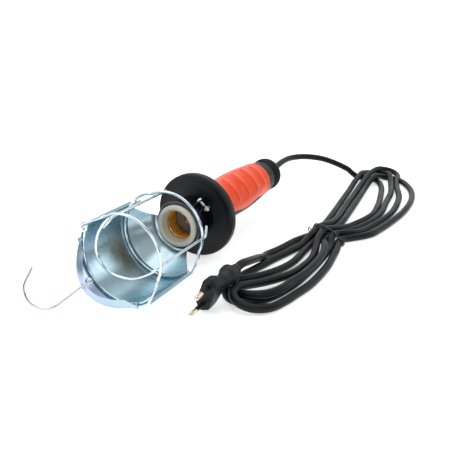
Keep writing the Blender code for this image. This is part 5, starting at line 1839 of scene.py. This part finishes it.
@dataclass
class Studio:
    """The camera, the paper sweep and the soft lights."""

    eye: Point = (-0.475197, -0.297853, 0.24207)
    right: Point = (0.4720, -0.8815, 0.0)
    ahead: Point = (0.8235, 0.4410, -0.3567)
    lens: float = 47.59
    world: float = 0.5

    def camera(self) -> None:
        """Create the camera and make it the scene's."""
        data = bpy.data.cameras.new("camera")
        data.lens = self.lens
        data.sensor_width = 36.0
        data.clip_start = 0.01
        obj = bpy.data.objects.new("camera", data)
        right, ahead = Vector(self.right).normalized(), Vector(self.ahead).normalized()
        up = right.cross(ahead)
        turn = Matrix((right, up, -ahead)).transposed().to_4x4()
        obj.matrix_world = Matrix.Translation(self.eye) @ turn
        bpy.context.scene.collection.objects.link(obj)
        bpy.context.scene.camera = obj

    def sweep(self) -> None:
        """Lay the paper: flat under the lamp, and curving up far behind it."""
        ahead = Vector((self.ahead[0], self.ahead[1], 0)).normalized()
        side = Vector((-ahead.y, ahead.x, 0))
        rows = []
        profile = [(-3.0, 0.0), (-1.0, 0.0), (1.0, 0.0), (2.6, 0.0)]
        curve = [radians(7.5 * k) for k in range(1, 13)]
        profile += [(2.6 + 1.2 * sin(a), 1.2 - 1.2 * cos(a)) for a in curve]
        profile += [(3.8, 3.0), (3.8, 4.5)]
        for s in np.linspace(-4.0, 4.0, 17):
            rows.append([tuple((ahead * d + side * float(s)) / MM + Vector((0, 0, z / MM)))
                         for d, z in profile])
        mesh = Shape(Matrix.Identity(4)).grid(rows).piece("paper_sweep", SWEEP_PAPER, 80)

    def light(self, name: str, place: Point, size: tuple[float, float], power: float,
              colour: tuple[float, float, float] = (1.0, 1.0, 1.0)) -> None:
        """Hang one soft box that faces the lamp.

        Args:
            name: The light's name.
            place: Where it hangs, in metres.
            size: Its width and height.
            power: Its power in watts.
            colour: Its colour.
        """
        data = bpy.data.lights.new(name, "AREA")
        data.shape = "RECTANGLE"
        data.size, data.size_y = size
        data.energy = power
        data.color = colour
        obj = bpy.data.objects.new(name, data)
        obj.location = place
        obj.rotation_euler = (Vector(place) - Vector((0.05, -0.04, 0.03))).to_track_quat("Z", "Y").to_euler()
        bpy.context.scene.collection.objects.link(obj)

    def build(self) -> None:
        """Set up the whole studio."""
        self.camera()
        self.sweep()
        self.light("overhead_box", (0.1, 0.1, 1.6), (1.8, 1.8), 12.0)
        self.light("left_box", (-0.9, 0.9, 0.9), (0.9, 0.9), 5.0)
        self.light("front_box", (-1.2, -1.0, 0.7), (0.8, 0.8), 3.5)
        self.light("right_strip", (0.9, -1.0, 0.6), (0.3, 1.0), 2.5)
        world = bpy.data.worlds.new("studio_world")
        world.use_nodes = True
        board = Board(world.node_tree)
        back = world.node_tree.nodes["Background"]
        back.inputs["Strength"].default_value = self.world
        way = board.add("ShaderNodeSeparateXYZ", {0: board.add("ShaderNodeTexCoord").outputs["Generated"]})
        height = board.rescale(way.outputs["Z"], (-0.2, 0.9))
        board.tree.links.new(board.ramp(height, [
            (0.0, (0.55, 0.58, 0.60)), (0.35, (0.42, 0.46, 0.50)), (0.6, (0.85, 0.88, 0.90)), (1.0, 1.0)]),
            back.inputs["Color"])
        bpy.context.scene.world = world
        view = bpy.context.scene.view_settings
        view.view_transform = "Standard"
        view.look = "None"
        view.exposure = 0.0


def dress_carried_nodes() -> None:
    """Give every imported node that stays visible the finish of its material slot."""
    slots = {part["node"]: part["material_slot"] for part in frame["record"]["subparts"]}
    for name, node in frame["nodes"].items():
        if node.hide_render or node.type != "MESH":
            continue
        material = SLOT_FINISH[slots[name]].material()
        if not node.material_slots:
            continue
        for slot in node.material_slots:
            slot.link = "OBJECT"
            slot.material = material
        LOG.info("%s keeps its packed shape in %s", name, material.name)


def main() -> None:
    """Build the studio and every sub-assembly in order."""
    logging.basicConfig(level=logging.INFO, format="%(name)s: %(message)s")
    Studio().build()
    lead = MainsLead()
    cable = settle(lead.build(SWEEP), Body.LAMP, "cable_sheath", "cord_lead", "cord_hank", "cord_tail")
    tie = settle(HankTie().build(SWEEP, lead), Body.LAMP, "tie_black", "cord_tie")
    plug = TwoPinPlug().build()
    Handle().build()
    EndCap().build(STUDS)
    holder = Lampholder()
    holder.build(STUDS)
    NeckStrap().build(holder, STUDS)
    Reflector().build()
    WireWork().build(SWEEP)
    HangingHook().build(SWEEP)
    dress_carried_nodes()


if __name__ == "__main__":
    main()
